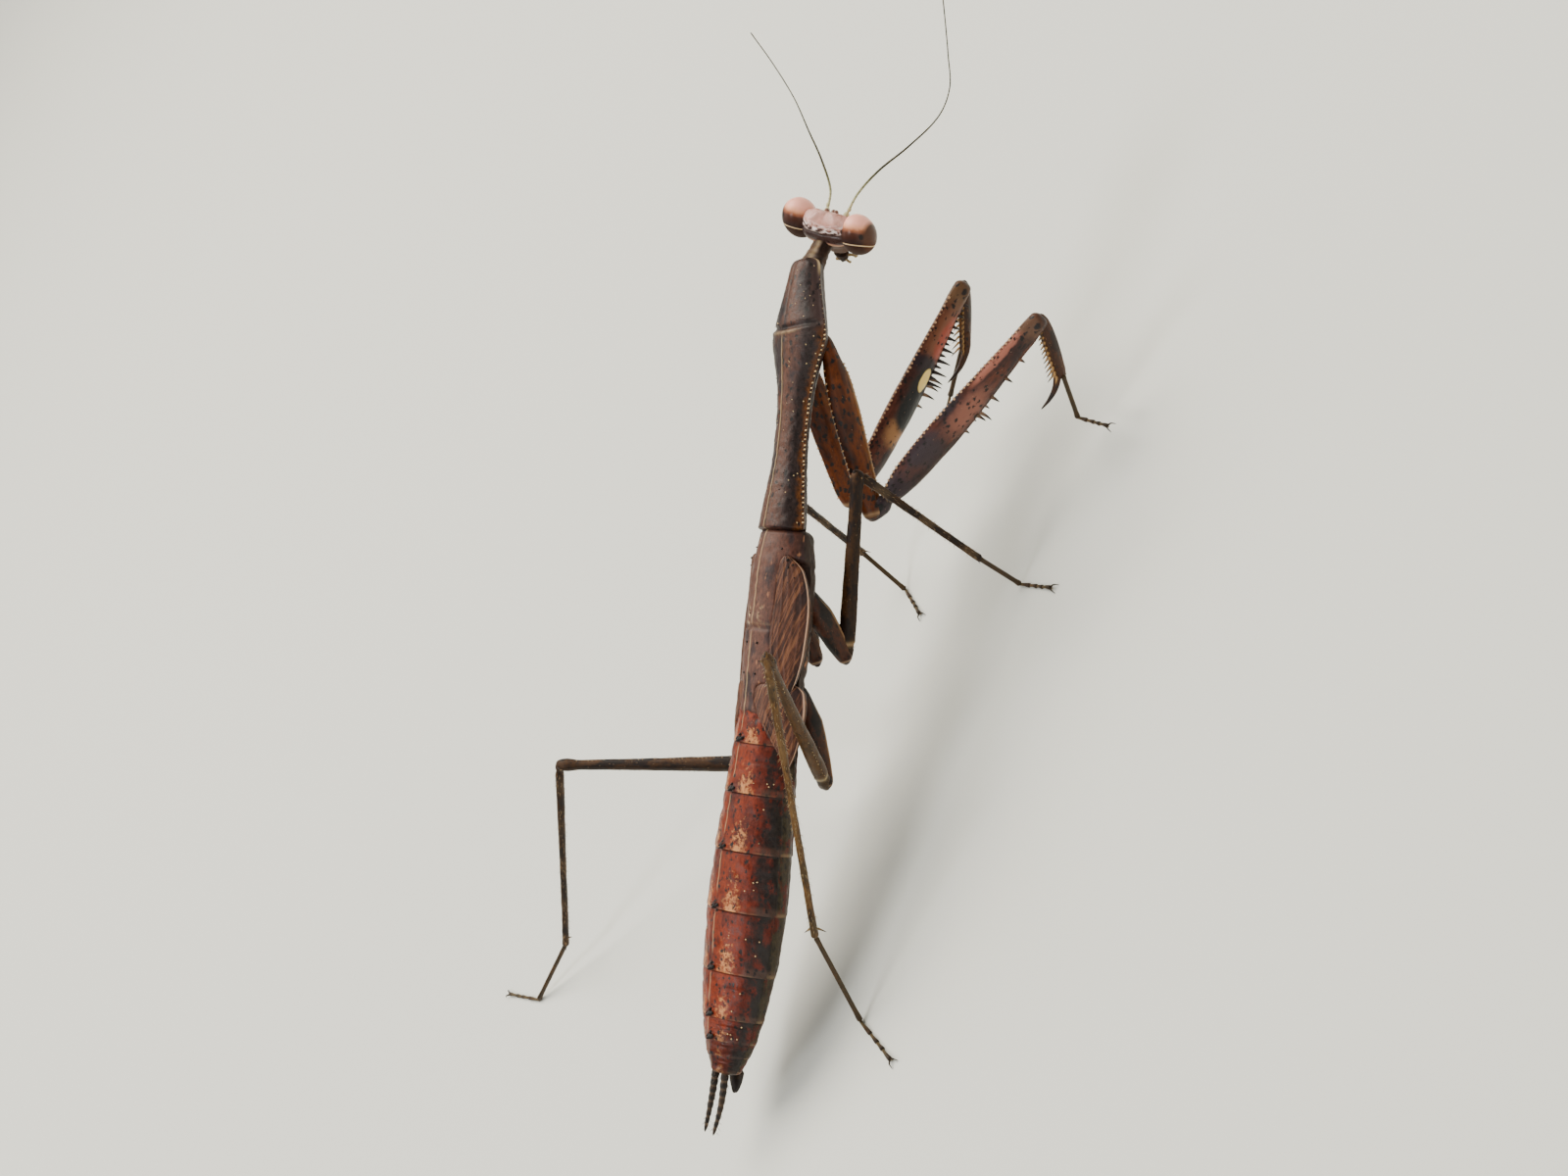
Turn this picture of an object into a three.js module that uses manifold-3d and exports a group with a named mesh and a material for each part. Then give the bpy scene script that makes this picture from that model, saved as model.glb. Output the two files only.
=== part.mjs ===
// Last-stage nymph of an Asian jumping mantis, life size, standing on its own feet.
// Millimetres, +Z up.  It faces -Y, its right side is -X and its floor is z = 0.
import * as THREE from 'three';
import { mergeVertices } from 'three/addons/utils/BufferGeometryUtils.js';
import Module from 'manifold-3d';

const wasm = await Module();
wasm.setup();

// ---- Driving dimensions -------------------------------------------------------------------

const GAP = 0.26; // between pieces that meet face to face
const THIN_GAP = 0.2; // between the thin pieces of a leg

// Stance of the trunk: a point on its axis above the middle legs, and how its axis points.
const TRUNK_X = -10.5;
const TRUNK_Y = 3.1;
const TRUNK_HEIGHT = 11.81;
const TRUNK_NOSE_UP = 19.5;
const PRONOTUM_TURN = -3.5; // to its left, about its hind end
const PRONOTUM_DIP = -0.9;
const PRONOTUM_LIFT = 0.2; // of its hind end above the axis of the trunk

// Places along the trunk, behind the point above the middle legs.
const PRONOTUM_REAR = -2.85;
const PRONOTUM_GROOVE = -13.6;
const PRONOTUM_FRONT = -17.5;
const MESOTHORAX_REAR = 2.3;
const METATHORAX_REAR = 6.5;
const SEGMENT_REARS = [8.3, 10.9, 13.9, 17.0, 20.2, 22.6, 23.8, 24.6, 25.4];

// Trunk outline: place, half width, height above the axis, depth below it.
const PRONOTUM_OUTLINE = [
  [-17.5, 0.86, 0.62, 0.6],
  [-17.1, 1.06, 0.8, 0.75],
  [-16.0, 1.27, 0.98, 0.9],
  [-14.6, 1.7, 1.15, 1.0],
  [-13.6, 2.05, 1.21, 1.04],
  [-12.9, 2.14, 1.19, 1.04],
  [-12.0, 1.86, 1.1, 0.95],
  [-10.5, 1.4, 0.92, 0.82],
  [-8.5, 1.22, 0.82, 0.75],
  [-6.5, 1.26, 0.88, 0.78],
  [-4.6, 1.5, 1.1, 0.88],
  [-2.85, 1.72, 1.3, 0.95],
];
const TRUNK_OUTLINE = [
  [-2.85, 1.72, 1.25, 1.15],
  [-1.2, 2.0, 1.5, 1.45],
  [1.0, 2.15, 1.52, 1.6],
  [3.5, 2.15, 1.5, 1.65],
  [6.5, 1.95, 1.42, 1.6],
  [8.3, 2.1, 1.5, 1.62],
  [10.9, 2.36, 1.66, 1.72],
  [13.9, 2.62, 1.82, 1.8],
  [17.0, 2.75, 1.85, 1.8],
  [20.2, 2.58, 1.66, 1.62],
  [22.6, 2.15, 1.42, 1.38],
  [23.8, 1.82, 1.22, 1.18],
  [24.6, 1.48, 1.02, 0.98],
  [25.4, 1.05, 0.76, 0.74],
];

// Head: the point midway between the eyes, and how the face is turned.
const HEAD_AT = [0.53, -18.58, 17.34];
const HEAD_TURN = 4.4;
const HEAD_NOD = 8.9;
const HEAD_TILT = -31.8;
const EYE_OUT = 1.79;
const EYE_DROP = 0.2;
const EYE_RADII = [0.99, 1.0, 1.3];
// Head capsule outline: height, half width, reach forward, reach back.
const CAPSULE_OUTLINE = [
  [-2.25, 0.5, 0.4, 0.32],
  [-1.8, 0.72, 0.56, 0.48],
  [-1.1, 1.02, 0.72, 0.66],
  [-0.3, 1.5, 0.86, 0.84],
  [0.35, 1.6, 0.84, 0.88],
  [0.75, 1.45, 0.66, 0.76],
  [0.98, 1.05, 0.36, 0.5],
];

// Legs.  Each length is in millimetres; each heading is in degrees from straight ahead, positive
// to the mantis's right, and each rise is in degrees above level.
const FORE = { coxa: 8.7, femur: 13.6, tibia: 3.95, basitarsus: 3.0, toes: 2.8 };
const MIDDLE = { coxa: 3.85, femur: 10.25, tibia: 9.05, basitarsus: 3.2, toes: 2.6 };
const HIND = { coxa: 4.4, femur: 12.5, tibia: 15.35, basitarsus: 5.75, toes: 3.6 };
const LEGS = [
  { name: 'right_fore', size: FORE, root: [-1.25, -12.2, -1.15], coxa: [176.3, -43.6],
    femur: [27.5, -3.5], tibia: [-142.9, -62], basitarsus: -139, toes: 102, raised: 1.69 },
  { name: 'left_fore', size: FORE, root: [1.25, -12.2, -1.15], coxa: [-166, -54.8],
    femur: [11.3, 1.7], tibia: [-153.3, -42.2], basitarsus: -141.6, toes: 161, raised: 3.94 },
  { name: 'right_middle', size: MIDDLE, root: [-1.15, 0.7, -1.35], coxa: [-172.3, -63.9],
    femur: [17.9, 32.9], tibia: [142.7, -86.5], basitarsus: 34.3, toes: 92.1 },
  { name: 'left_middle', size: MIDDLE, root: [1.15, 0.7, -1.35], coxa: [-177.1, -57.3],
    femur: [-23.7, 26.3], tibia: [-93.4, -75.4], basitarsus: 123.6, toes: 123 },
  { name: 'right_hind', size: HIND, root: [-1.35, 6.2, -1.5], coxa: [-178.4, -45.1],
    femur: [62.4, 56.9], tibia: [-168.6, -43.6], basitarsus: -175.2, toes: 111.2 },
  { name: 'left_hind', size: HIND, root: [1.35, 6.2, -1.5], coxa: [-138.9, -34],
    femur: [-111, 29.4], tibia: [-138, -39.6], basitarsus: -134, toes: -96 },
];
const ELBOW = 0.35; // how far each piece runs past its joint before the joint's plane cuts it
const TOE_RADIUS = 0.27;
const TOE_HEIGHT = 0.165; // of the toes' axis, so that the floor flattens their undersides

// ---- Materials ----------------------------------------------------------------------------

function finish(color, roughness) {
  return new THREE.MeshStandardMaterial({ color, roughness, metalness: 0 });
}
const FINISH = {
  pronotum: finish('#4d3535', 0.6),
  thorax: finish('#5a3a30', 0.6),
  abdomen: finish('#7a3b2a', 0.55),
  pad: finish('#6b4636', 0.6),
  head: finish('#b58a78', 0.4),
  eye: finish('#c77f6f', 0.25),
  foreleg: finish('#6e3f34', 0.5),
  leg: finish('#4a3a2e', 0.6),
  hindleg: finish('#7d6a4c', 0.6),
  feeler: finish('#8d8358', 0.6),
  dark: finish('#2b221f', 0.5),
};

// ---- Shaping tools ------------------------------------------------------------------------

const UP = new THREE.Vector3(0, 0, 1);
const radians = THREE.MathUtils.degToRad;

// Repeatable chance values from 0 to 1.
let seed = 7;
function chance() {
  seed = (seed * 16807) % 2147483647;
  return seed / 2147483647;
}

// A unit vector with a heading from straight ahead (-Y) towards the right (-X), and a rise.
function toward(heading, rise) {
  const level = Math.cos(radians(rise));
  const x = -Math.sin(radians(heading)) * level;
  const y = -Math.cos(radians(heading)) * level;
  return new THREE.Vector3(x, y, Math.sin(radians(rise)));
}

// The values of a table at a place given in its first column, eased between its rows.
function valuesAt(table, place) {
  const last = table.length - 1;
  let row = 0;
  while (row < last - 1 && place > table[row + 1][0]) row += 1;
  const [a, b] = [table[row], table[row + 1]];
  const t = THREE.MathUtils.clamp((place - a[0]) / (b[0] - a[0]), 0, 1);
  return a.slice(1).map((value, i) => THREE.MathUtils.lerp(value, b[i + 1], t));
}

// A closed form along a curve.  outline(t, angle) gives each wall point's offset across and up,
// with angle 0 on top, and frame(t) gives the centre and the two directions of that offset.
function sweep({ sides, steps, outline, frame }) {
  const shape = new THREE.CylinderGeometry(1, 1, 1, sides, steps);
  const position = shape.attributes.position;
  const point = new THREE.Vector3();
  for (let i = 0; i < position.count; i += 1) {
    point.fromBufferAttribute(position, i);
    const t = Math.round((point.y + 0.5) * steps) / steps;
    const reach = Math.min(1, Math.hypot(point.x, point.z));
    const [across, up] = outline(t, Math.atan2(point.x, point.z));
    const { centre, side, top } = frame(t);
    point.copy(centre).addScaledVector(side, across * reach).addScaledVector(top, up * reach);
    position.setXYZ(i, point.x, point.y, point.z);
  }
  shape.computeVertexNormals();
  return shape;
}

// The frame of a straight form along Y.
function straight(start, end) {
  const side = new THREE.Vector3(1, 0, 0);
  return (t) => ({
    centre: new THREE.Vector3(0, THREE.MathUtils.lerp(start, end, t), 0), side, top: UP,
  });
}

// A round tube along a curve, with its radius given along it.
function tube(curve, sides, steps, radius) {
  const frames = curve.computeFrenetFrames(steps);
  const frame = (t) => {
    const i = Math.round(t * steps);
    const top = frames.binormals[i].clone().negate();
    return { centre: curve.getPointAt(t), side: frames.normals[i], top };
  };
  const outline = (t, angle) => [Math.sin(angle) * radius(t), Math.cos(angle) * radius(t)];
  return sweep({ sides, steps, outline, frame });
}

// A superellipse point: bulge 1 is an ellipse, above 1 a roof, below 1 a box.
function rounded(angle, width, height, bulge) {
  const [s, c] = [Math.sin(angle), Math.cos(angle)];
  return [Math.sign(s) * Math.abs(s) ** bulge * width, Math.sign(c) * Math.abs(c) ** bulge * height];
}

// A tapering spine: its root is sunk below a surface point and its tip stands clear of it.
const SPINE_SIDES = 4;
const SPINE_SUNK = 0.4; // as a share of its reach

function spine(surface, direction, reach, radius) {
  const length = reach * (1 + SPINE_SUNK);
  const shape = new THREE.ConeGeometry(radius * (1 + SPINE_SUNK), length, SPINE_SIDES, 1);
  shape.translate(0, length / 2 - reach * SPINE_SUNK, 0);
  const turn = new THREE.Quaternion().setFromUnitVectors(new THREE.Vector3(0, 1, 0), direction);
  return shape.applyQuaternion(turn).translate(surface.x, surface.y, surface.z);
}

function toSolid(geometry) {
  const bare = geometry.clone();
  bare.deleteAttribute('normal');
  bare.deleteAttribute('uv');
  const merged = mergeVertices(bare, 1e-4);
  const vertProperties = Float32Array.from(merged.attributes.position.array);
  const triVerts = Uint32Array.from(merged.index.array);
  return new wasm.Manifold(new wasm.Mesh({ numProp: 3, vertProperties, triVerts }));
}

// The largest closed surface of a solid, as a geometry.
function toGeometry(solid) {
  const pieces = solid.decompose().sort((a, b) => b.volume() - a.volume());
  const mesh = pieces[0].getMesh();
  const geometry = new THREE.BufferGeometry();
  geometry.setAttribute('position', new THREE.BufferAttribute(mesh.vertProperties, 3));
  geometry.setIndex(new THREE.BufferAttribute(mesh.triVerts, 1));
  geometry.computeVertexNormals();
  return geometry;
}

function fuse(base, pieces) {
  return toGeometry(pieces.reduce((solid, piece) => solid.add(toSolid(piece)), toSolid(base)));
}

function cut(base, tools) {
  return toGeometry(tools.reduce((solid, tool) => solid.subtract(toSolid(tool)), toSolid(base)));
}

function named(name, geometry, material) {
  const mesh = new THREE.Mesh(geometry, material);
  mesh.name = name;
  return mesh;
}

// Sets a mesh at one point with its Y along a direction and its Z nearest to another.
function aim(mesh, from, along, top) {
  const side = along.clone().cross(top).normalize();
  const basis = new THREE.Matrix4().makeBasis(side, along, side.clone().cross(along));
  mesh.quaternion.setFromRotationMatrix(basis);
  mesh.position.copy(from);
  return mesh;
}

// ---- Trunk --------------------------------------------------------------------------------

const specimen = new THREE.Group();
specimen.position.set(TRUNK_X, TRUNK_Y, 0);

const trunk = new THREE.Group();
trunk.position.set(0, 0, TRUNK_HEIGHT);
trunk.rotation.x = -radians(TRUNK_NOSE_UP);
specimen.add(trunk);

const pronotum = new THREE.Group();
pronotum.position.set(0, PRONOTUM_REAR, PRONOTUM_LIFT);
pronotum.rotation.set(-radians(PRONOTUM_DIP), 0, radians(-PRONOTUM_TURN), 'ZXY');
trunk.add(pronotum);

// One length of the trunk, with a keel along its back.  The abdomen's have a lip at their hind
// margin and side lobes that end in a step, the pronotum's have small teeth along both sides.
const KEEL = 0.07;
const LOBE_ANGLE = 1.75; // from the top
const LOBE_SPREAD = 0.35;

function trunkLength(table, from, to, { sides = 20, steps = 4, roof = 1.2, lip = 0, lobe = 0, tooth = 0,
  offset = 0, grow = 0 }) {
  const outline = (t, angle) => {
    const place = THREE.MathUtils.lerp(from, to, t);
    const [width, height, depth] = valuesAt(table, place).map((value) => value + grow);
    const flare = 1 + lip * t ** 3;
    const [across, up] = Math.cos(angle) > 0
      ? rounded(angle, width, height, roof)
      : rounded(angle, width, depth, 0.95);
    const near = Math.exp(-(((Math.abs(angle) - LOBE_ANGLE) / LOBE_SPREAD) ** 2));
    const step = Math.sign(angle) * lobe * near * t ** 2;
    const keel = Math.abs(angle) < 0.01 ? KEEL : 0;
    const toothed = Math.round(t * steps) % 2 && Math.abs(Math.abs(angle) - Math.PI / 2) < 0.01;
    const point = toothed ? Math.sign(angle) * tooth * (0.8 + 0.4 * chance()) : 0;
    return [across * flare + step + point, up * flare + keel];
  };
  return sweep({ sides, steps, outline, frame: straight(from - offset, to - offset) });
}

// The pronotum's widest part, round the bases of the fore legs, has a rounder back than the rest.
function pronotumLength(from, to, options) {
  return trunkLength(PRONOTUM_OUTLINE, from, to, { roof: 1.1, offset: PRONOTUM_REAR, ...options });
}

const TOOTH_REACH = 0.2;

function pronotumShield() {
  const front = pronotumLength(PRONOTUM_FRONT, PRONOTUM_GROOVE - GAP / 2, { steps: 8, tooth: TOOTH_REACH });
  const rear = pronotumLength(PRONOTUM_GROOVE + GAP / 2, PRONOTUM_REAR - GAP,
    { steps: 24, tooth: TOOTH_REACH });
  pronotum.add(named('pronotum_front', front, FINISH.pronotum));
  pronotum.add(named('pronotum_rear', rear, FINISH.pronotum));
}

// The four wing pads lie on the sloping sides of the back, with their veins as low ridges.  Each
// row gives a place along the trunk and how far the pad's inner and outer edges lie down that
// slope from the ridge of the back.
const PAD_THICK = 0.45;
const PAD_CROWN = 0.15;
const PAD_VEINS = 5;
const VEIN_HEIGHT = 0.07;
const PAD_CLEAR = 0.35; // around a pad, as its bed is cut in flats
const RIDGE = 1.62;
const PAD_SLOPE = 42;
const FORE_PAD = [[-1.5, 1.3, 1.9], [-0.8, 1.25, 2.6], [0.9, 1.2, 3.1], [3.3, 1.2, 3.1],
  [4.6, 1.7, 2.9], [5.6, 2.3, 2.6]];
const HIND_PAD = [[5.1, 0.6, 3.3], [6.2, 0.6, 3.5], [7.3, 1.3, 3.45], [8.4, 2.1, 3.25],
  [9.2, 2.7, 3.0]];

// A pad as a strip with its edges grown by extra, its underside sunk and its top raised.
function padStrip(pad, side, { extra = 0, sink = 0, raise = 0, along = 8, vein = VEIN_HEIGHT }) {
  const shape = new THREE.BoxGeometry(1, 1, 1, PAD_VEINS * 2, along, 1);
  const position = shape.attributes.position;
  const [start, end] = [pad[0][0] - extra, pad[pad.length - 1][0] + extra];
  const [dropX, dropZ] = [Math.cos(radians(PAD_SLOPE)), -Math.sin(radians(PAD_SLOPE))];
  for (let i = 0; i < position.count; i += 1) {
    const u = position.getX(i) + 0.5;
    const y = THREE.MathUtils.lerp(start, end, position.getY(i) + 0.5);
    const [inner, outer] = valuesAt(pad, y);
    const run = THREE.MathUtils.lerp(inner - extra, outer + extra * 3, u);
    const within = THREE.MathUtils.clamp((run - inner) / (outer - inner), 0, 1);
    const crown = PAD_CROWN * Math.sin(Math.PI * within);
    const ridge = vein * Math.abs(Math.sin(Math.PI * PAD_VEINS * u));
    const lift = crown + (position.getZ(i) > 0 ? raise + ridge : -PAD_THICK - sink);
    const x = dropX * run - dropZ * lift;
    const z = RIDGE + dropZ * run + dropX * lift;
    position.setXYZ(i, x * side, y, z);
  }
  if (side < 0) shape.index.array.reverse();
  shape.computeVertexNormals();
  return shape;
}

function padCutters(pad) {
  return [-1, 1].map((side) => padStrip(pad, side,
    { extra: PAD_CLEAR, sink: PAD_CLEAR, raise: 1.5, vein: 0 }));
}

function thoraxAndPads() {
  const half = GAP / 2;
  const tools = [...padCutters(FORE_PAD), ...padCutters(HIND_PAD)];
  const middle = trunkLength(TRUNK_OUTLINE, PRONOTUM_REAR + half, MESOTHORAX_REAR - half, { steps: 5 });
  const hind = trunkLength(TRUNK_OUTLINE, MESOTHORAX_REAR + half, METATHORAX_REAR - half, { steps: 5 });
  trunk.add(named('mesothorax', cut(middle, tools), FINISH.thorax));
  trunk.add(named('metathorax', cut(hind, tools), FINISH.thorax));
  for (const [word, side] of [['right', -1], ['left', 1]]) {
    trunk.add(named(`${word}_forewing_pad`, padStrip(FORE_PAD, side, {}), FINISH.pad));
    const hindPad = cut(padStrip(HIND_PAD, side, {}), padCutters(FORE_PAD));
    trunk.add(named(`${word}_hindwing_pad`, hindPad, FINISH.pad));
  }
}

function abdomen() {
  const half = GAP / 2;
  SEGMENT_REARS.forEach((rear, i) => {
    const from = (i ? SEGMENT_REARS[i - 1] : METATHORAX_REAR) + half;
    const plain = trunkLength(TRUNK_OUTLINE, from, rear - half,
      { steps: 3, roof: 1.25, lip: 0.03, lobe: 0.16 });
    const geometry = i < 2 ? cut(plain, padCutters(HIND_PAD)) : plain;
    trunk.add(named(`abdomen_${i + 1}`, geometry, FINISH.abdomen));
  });
}

// The two cerci and the plate under the tip of the abdomen.
const CERCUS_LENGTH = 3.3;
const CERCUS_RINGS = 9;

function abdomenTip() {
  const tail = SEGMENT_REARS[8] + GAP / 2;
  for (const [word, side] of [['right', -1], ['left', 1]]) {
    const curve = new THREE.CatmullRomCurve3([
      new THREE.Vector3(side * 0.42, tail, 0.1),
      new THREE.Vector3(side * 0.48, tail + CERCUS_LENGTH * 0.5, 0.3),
      new THREE.Vector3(side * 0.4, tail + CERCUS_LENGTH, 0.7),
    ]);
    const rings = (t) => 1 - 0.1 * Math.cos(t * Math.PI * CERCUS_RINGS * 2);
    const radius = (t) => (0.27 - 0.1 * t ** 2) * rings(t);
    trunk.add(named(`${word}_cercus`, tube(curve, 8, CERCUS_RINGS * 2, radius), FINISH.dark));
  }
  const outline = (t, angle) => rounded(angle, 0.62 - 0.36 * t, 0.3 - 0.08 * t, 1);
  const frame = (t) => ({
    centre: new THREE.Vector3(0, tail + 1.1 * t, -0.6 - 0.05 * t), side: new THREE.Vector3(1, 0, 0), top: UP,
  });
  trunk.add(named('subgenital_plate', sweep({ sides: 12, steps: 4, outline, frame }), FINISH.abdomen));
}

// ---- Head ---------------------------------------------------------------------------------

const head = new THREE.Group();
head.position.set(...HEAD_AT);
head.rotation.set(radians(HEAD_NOD), radians(HEAD_TILT), radians(HEAD_TURN), 'ZXY');
specimen.add(head);

function eyeForm(side, grow) {
  const shape = new THREE.SphereGeometry(1, 18, 13);
  shape.rotateX(Math.PI / 2);
  shape.scale(EYE_RADII[0] + grow, EYE_RADII[1] + grow, EYE_RADII[2] + grow);
  shape.translate(side * EYE_OUT, 0, -EYE_DROP);
  return shape;
}

function capsuleForm(grow) {
  const bottom = CAPSULE_OUTLINE[0][0];
  const top = CAPSULE_OUTLINE[CAPSULE_OUTLINE.length - 1][0];
  const outline = (t, angle) => {
    const [width, front, back] = valuesAt(CAPSULE_OUTLINE, THREE.MathUtils.lerp(bottom, top, t))
      .map((value) => value + grow);
    return rounded(angle, width, Math.cos(angle) > 0 ? front : back, 0.9);
  };
  const shape = sweep({ sides: 20, steps: 8, outline, frame: straight(bottom, top) });
  return shape.rotateX(Math.PI / 2);
}

// The head capsule, cupped for the eyes, with three small ocelli above the feelers.
const OCELLI = [[-0.28, -0.66, 0.7], [0, -0.78, 0.5], [0.28, -0.66, 0.7]];

function capsule() {
  const ocelli = OCELLI.map((at) => new THREE.SphereGeometry(0.17, 7, 5).translate(...at));
  return cut(fuse(capsuleForm(0), ocelli), [eyeForm(-1, GAP), eyeForm(1, GAP)]);
}

function mouthparts() {
  const top = CAPSULE_OUTLINE[0][0] - GAP;
  const outline = (t, angle) => rounded(angle, 0.5 - 0.2 * t, 0.4 - 0.15 * t, 0.9);
  const shape = sweep({ sides: 12, steps: 3, outline, frame: straight(top - 0.65, top) });
  shape.rotateX(Math.PI / 2);
  const palps = [-1, 1].map((side) => {
    const curve = new THREE.QuadraticBezierCurve3(
      new THREE.Vector3(side * 0.2, 0, top - 0.3),
      new THREE.Vector3(side * 0.7, -0.25, top - 0.3),
      new THREE.Vector3(side * 0.4, -0.4, top - 0.85),
    );
    return tube(curve, 6, 3, (t) => 0.23 - 0.08 * t);
  });
  return fuse(shape, palps);
}

// Antennae: points of each feeler from its root, in the head's own directions.
const ANTENNAE = {
  right: [[-0.5, -1.12, 0.1], [-0.85, -1.9, 0.6], [-1.4, -3.5, 0.8], [-2.4, -5.3, 1.0], [-3.3, -7.3, 1.35],
    [-3.4, -8.8, 1.95], [-2.85, -10.2, 2.8], [-1.75, -12.6, 4.3], [-0.9, -14.3, 5.4]],
  left: [[0.5, -1.12, 0.1], [0.75, -1.8, 0.55], [1.8, -3.1, 1.2], [3.2, -4.5, 1.5], [5.0, -6.3, 1.7],
    [7.3, -8.2, 1.8], [9.6, -9.9, 1.9]],
};

function antenna(side) {
  const curve = new THREE.CatmullRomCurve3(ANTENNAE[side].map((at) => new THREE.Vector3(...at)));
  return tube(curve, 7, 26, (t) => 0.26 - 0.14 * Math.max(0, t - 0.75) / 0.25);
}

function headParts() {
  head.add(named('head', capsule(), FINISH.head));
  head.add(named('right_eye', eyeForm(-1, 0), FINISH.eye));
  head.add(named('left_eye', eyeForm(1, 0), FINISH.eye));
  head.add(named('mouthparts', mouthparts(), FINISH.dark));
  head.add(named('right_antenna', antenna('right'), FINISH.feeler));
  head.add(named('left_antenna', antenna('left'), FINISH.feeler));
}

// A trunk length or head form, moved into the own directions of a mesh that it is cut from.
function movedInto(mesh, carrier, geometry) {
  mesh.updateMatrix();
  const intoMesh = mesh.matrix.clone().invert().multiply(specimen.matrixWorld.clone().invert())
    .multiply(carrier.matrixWorld);
  return geometry.applyMatrix4(intoMesh);
}

function pronotumEnvelope() {
  return pronotumLength(PRONOTUM_FRONT - GAP, PRONOTUM_REAR, { steps: 16, grow: GAP });
}

// The neck runs from the back of the head to the front of the pronotum.
const NECK_WIDE = 0.62;
const NECK_THICK = 0.5;

function neck() {
  specimen.updateMatrixWorld(true);
  const from = specimen.worldToLocal(head.localToWorld(new THREE.Vector3(0, 0.4, -0.35)));
  const inShield = new THREE.Vector3(0, PRONOTUM_FRONT - PRONOTUM_REAR + 0.4, -0.2);
  const to = specimen.worldToLocal(pronotum.localToWorld(inShield));
  const run = to.clone().sub(from);
  const outline = (t, angle) => rounded(angle, NECK_WIDE, NECK_THICK, 1);
  const shape = sweep({ sides: 14, steps: 2, outline, frame: straight(0, run.length()) });
  const mesh = aim(named('neck', shape, FINISH.head), from, run.normalize(), UP);
  const tools = [movedInto(mesh, head, capsuleForm(GAP)), movedInto(mesh, pronotum, pronotumEnvelope())];
  mesh.geometry = cut(shape, tools);
  specimen.add(mesh);
}

// ---- Legs ---------------------------------------------------------------------------------

// A straight leg piece along Y, its outline a table of place, half width, height, depth.
function legPiece(length, table, { sides = 10, steps = 6 }) {
  const outline = (t, angle) => {
    const [width, height, depth] = valuesAt(table, t);
    return rounded(angle, width, Math.cos(angle) > 0 ? height : depth, 1);
  };
  return sweep({ sides, steps, outline, frame: straight(-ELBOW, length + ELBOW) });
}

// Cuts a placed mesh off at a plane, on the side that the plane's direction points to.
function trim(mesh, point, direction, gap) {
  mesh.updateMatrix();
  const inward = direction.clone().applyQuaternion(mesh.quaternion.clone().invert());
  const at = point.clone().applyMatrix4(mesh.matrix.clone().invert());
  const solid = toSolid(mesh.geometry).trimByPlane(inward.toArray(), inward.dot(at) + gap / 2);
  mesh.geometry = toGeometry(solid);
}

// Parts two pieces of a leg with the plane that halves the bend between them.
function mitre(before, after, joint, along, onward) {
  const normal = along.clone().add(onward).normalize();
  trim(before, joint, normal.clone().negate(), THIN_GAP);
  trim(after, joint, normal, THIN_GAP);
}

const FORE_COXA = [[0, 0.42, 0.5, 0.5], [0.12, 0.56, 0.7, 0.68], [0.35, 0.6, 0.82, 0.76],
  [0.8, 0.54, 0.7, 0.64], [1, 0.44, 0.48, 0.46]];
const FORE_FEMUR = [[0, 0.36, 0.4, 0.4], [0.05, 0.44, 0.55, 0.5], [0.09, 0.42, 0.5, 0.52],
  [0.2, 0.5, 0.84, 0.86], [0.36, 0.54, 0.98, 0.98], [0.6, 0.5, 0.88, 0.88], [0.85, 0.42, 0.62, 0.6],
  [0.95, 0.42, 0.5, 0.5], [1, 0.34, 0.38, 0.38]];
const FORE_TIBIA = [[0, 0.3, 0.34, 0.34], [0.12, 0.33, 0.4, 0.38], [0.6, 0.32, 0.4, 0.4],
  [1, 0.28, 0.32, 0.34]];
const COXA = [[0, 0.5, 0.52, 0.52], [0.2, 0.66, 0.68, 0.66], [0.7, 0.52, 0.56, 0.56],
  [1, 0.36, 0.4, 0.4]];
const MIDDLE_FEMUR = [[0, 0.3, 0.3, 0.3], [0.1, 0.37, 0.4, 0.38], [0.5, 0.33, 0.35, 0.35],
  [0.92, 0.3, 0.3, 0.32], [0.97, 0.34, 0.38, 0.34], [1, 0.28, 0.3, 0.28]];
const HIND_FEMUR = [[0, 0.34, 0.36, 0.36], [0.1, 0.42, 0.48, 0.46], [0.5, 0.36, 0.4, 0.38],
  [0.92, 0.3, 0.31, 0.31], [0.97, 0.34, 0.38, 0.34], [1, 0.28, 0.3, 0.28]];
const TIBIA = [[0, 0.27, 0.28, 0.27], [0.5, 0.26, 0.26, 0.26], [0.95, 0.27, 0.28, 0.27],
  [1, 0.25, 0.26, 0.25]];

// A spine on a leg piece, at a place along it and at an angle from its top, leaning onward.
const SEATED = 0.94; // so that the flats between a leg's sides are allowed for

function legSpine(length, table, { place, angle, reach, lean, radius }) {
  const y = place * length;
  const [width, height, depth] = valuesAt(table, (y + ELBOW) / (length + ELBOW * 2));
  const [x, z] = rounded(angle, width, Math.cos(angle) > 0 ? height : depth, 1);
  const direction = new THREE.Vector3(Math.sin(angle), lean, Math.cos(angle)).normalize();
  return spine(new THREE.Vector3(x * SEATED, y, z * SEATED), direction, reach, radius);
}

// The spines under a fore femur: an inner row of long and short ones by turns that shrinks towards
// the knee, four outer ones, and four on the sole between them.  Angles are from the top, towards
// the outer side.
const FEMUR_INNER = { count: 11, from: 0.48, to: 0.82, angle: -2.55, long: 0.95, short: 0.5 };
const FEMUR_OUTER = { places: [0.54, 0.63, 0.72, 0.8], angle: 2.5, reaches: [1.0, 0.9, 0.7, 0.45] };
const FEMUR_SOLE = { places: [0.44, 0.48, 0.52, 0.56], angles: [3.0, 2.75, 3.05, 2.8],
  reaches: [0.7, 1.35, 1.15, 0.8] };

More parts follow.
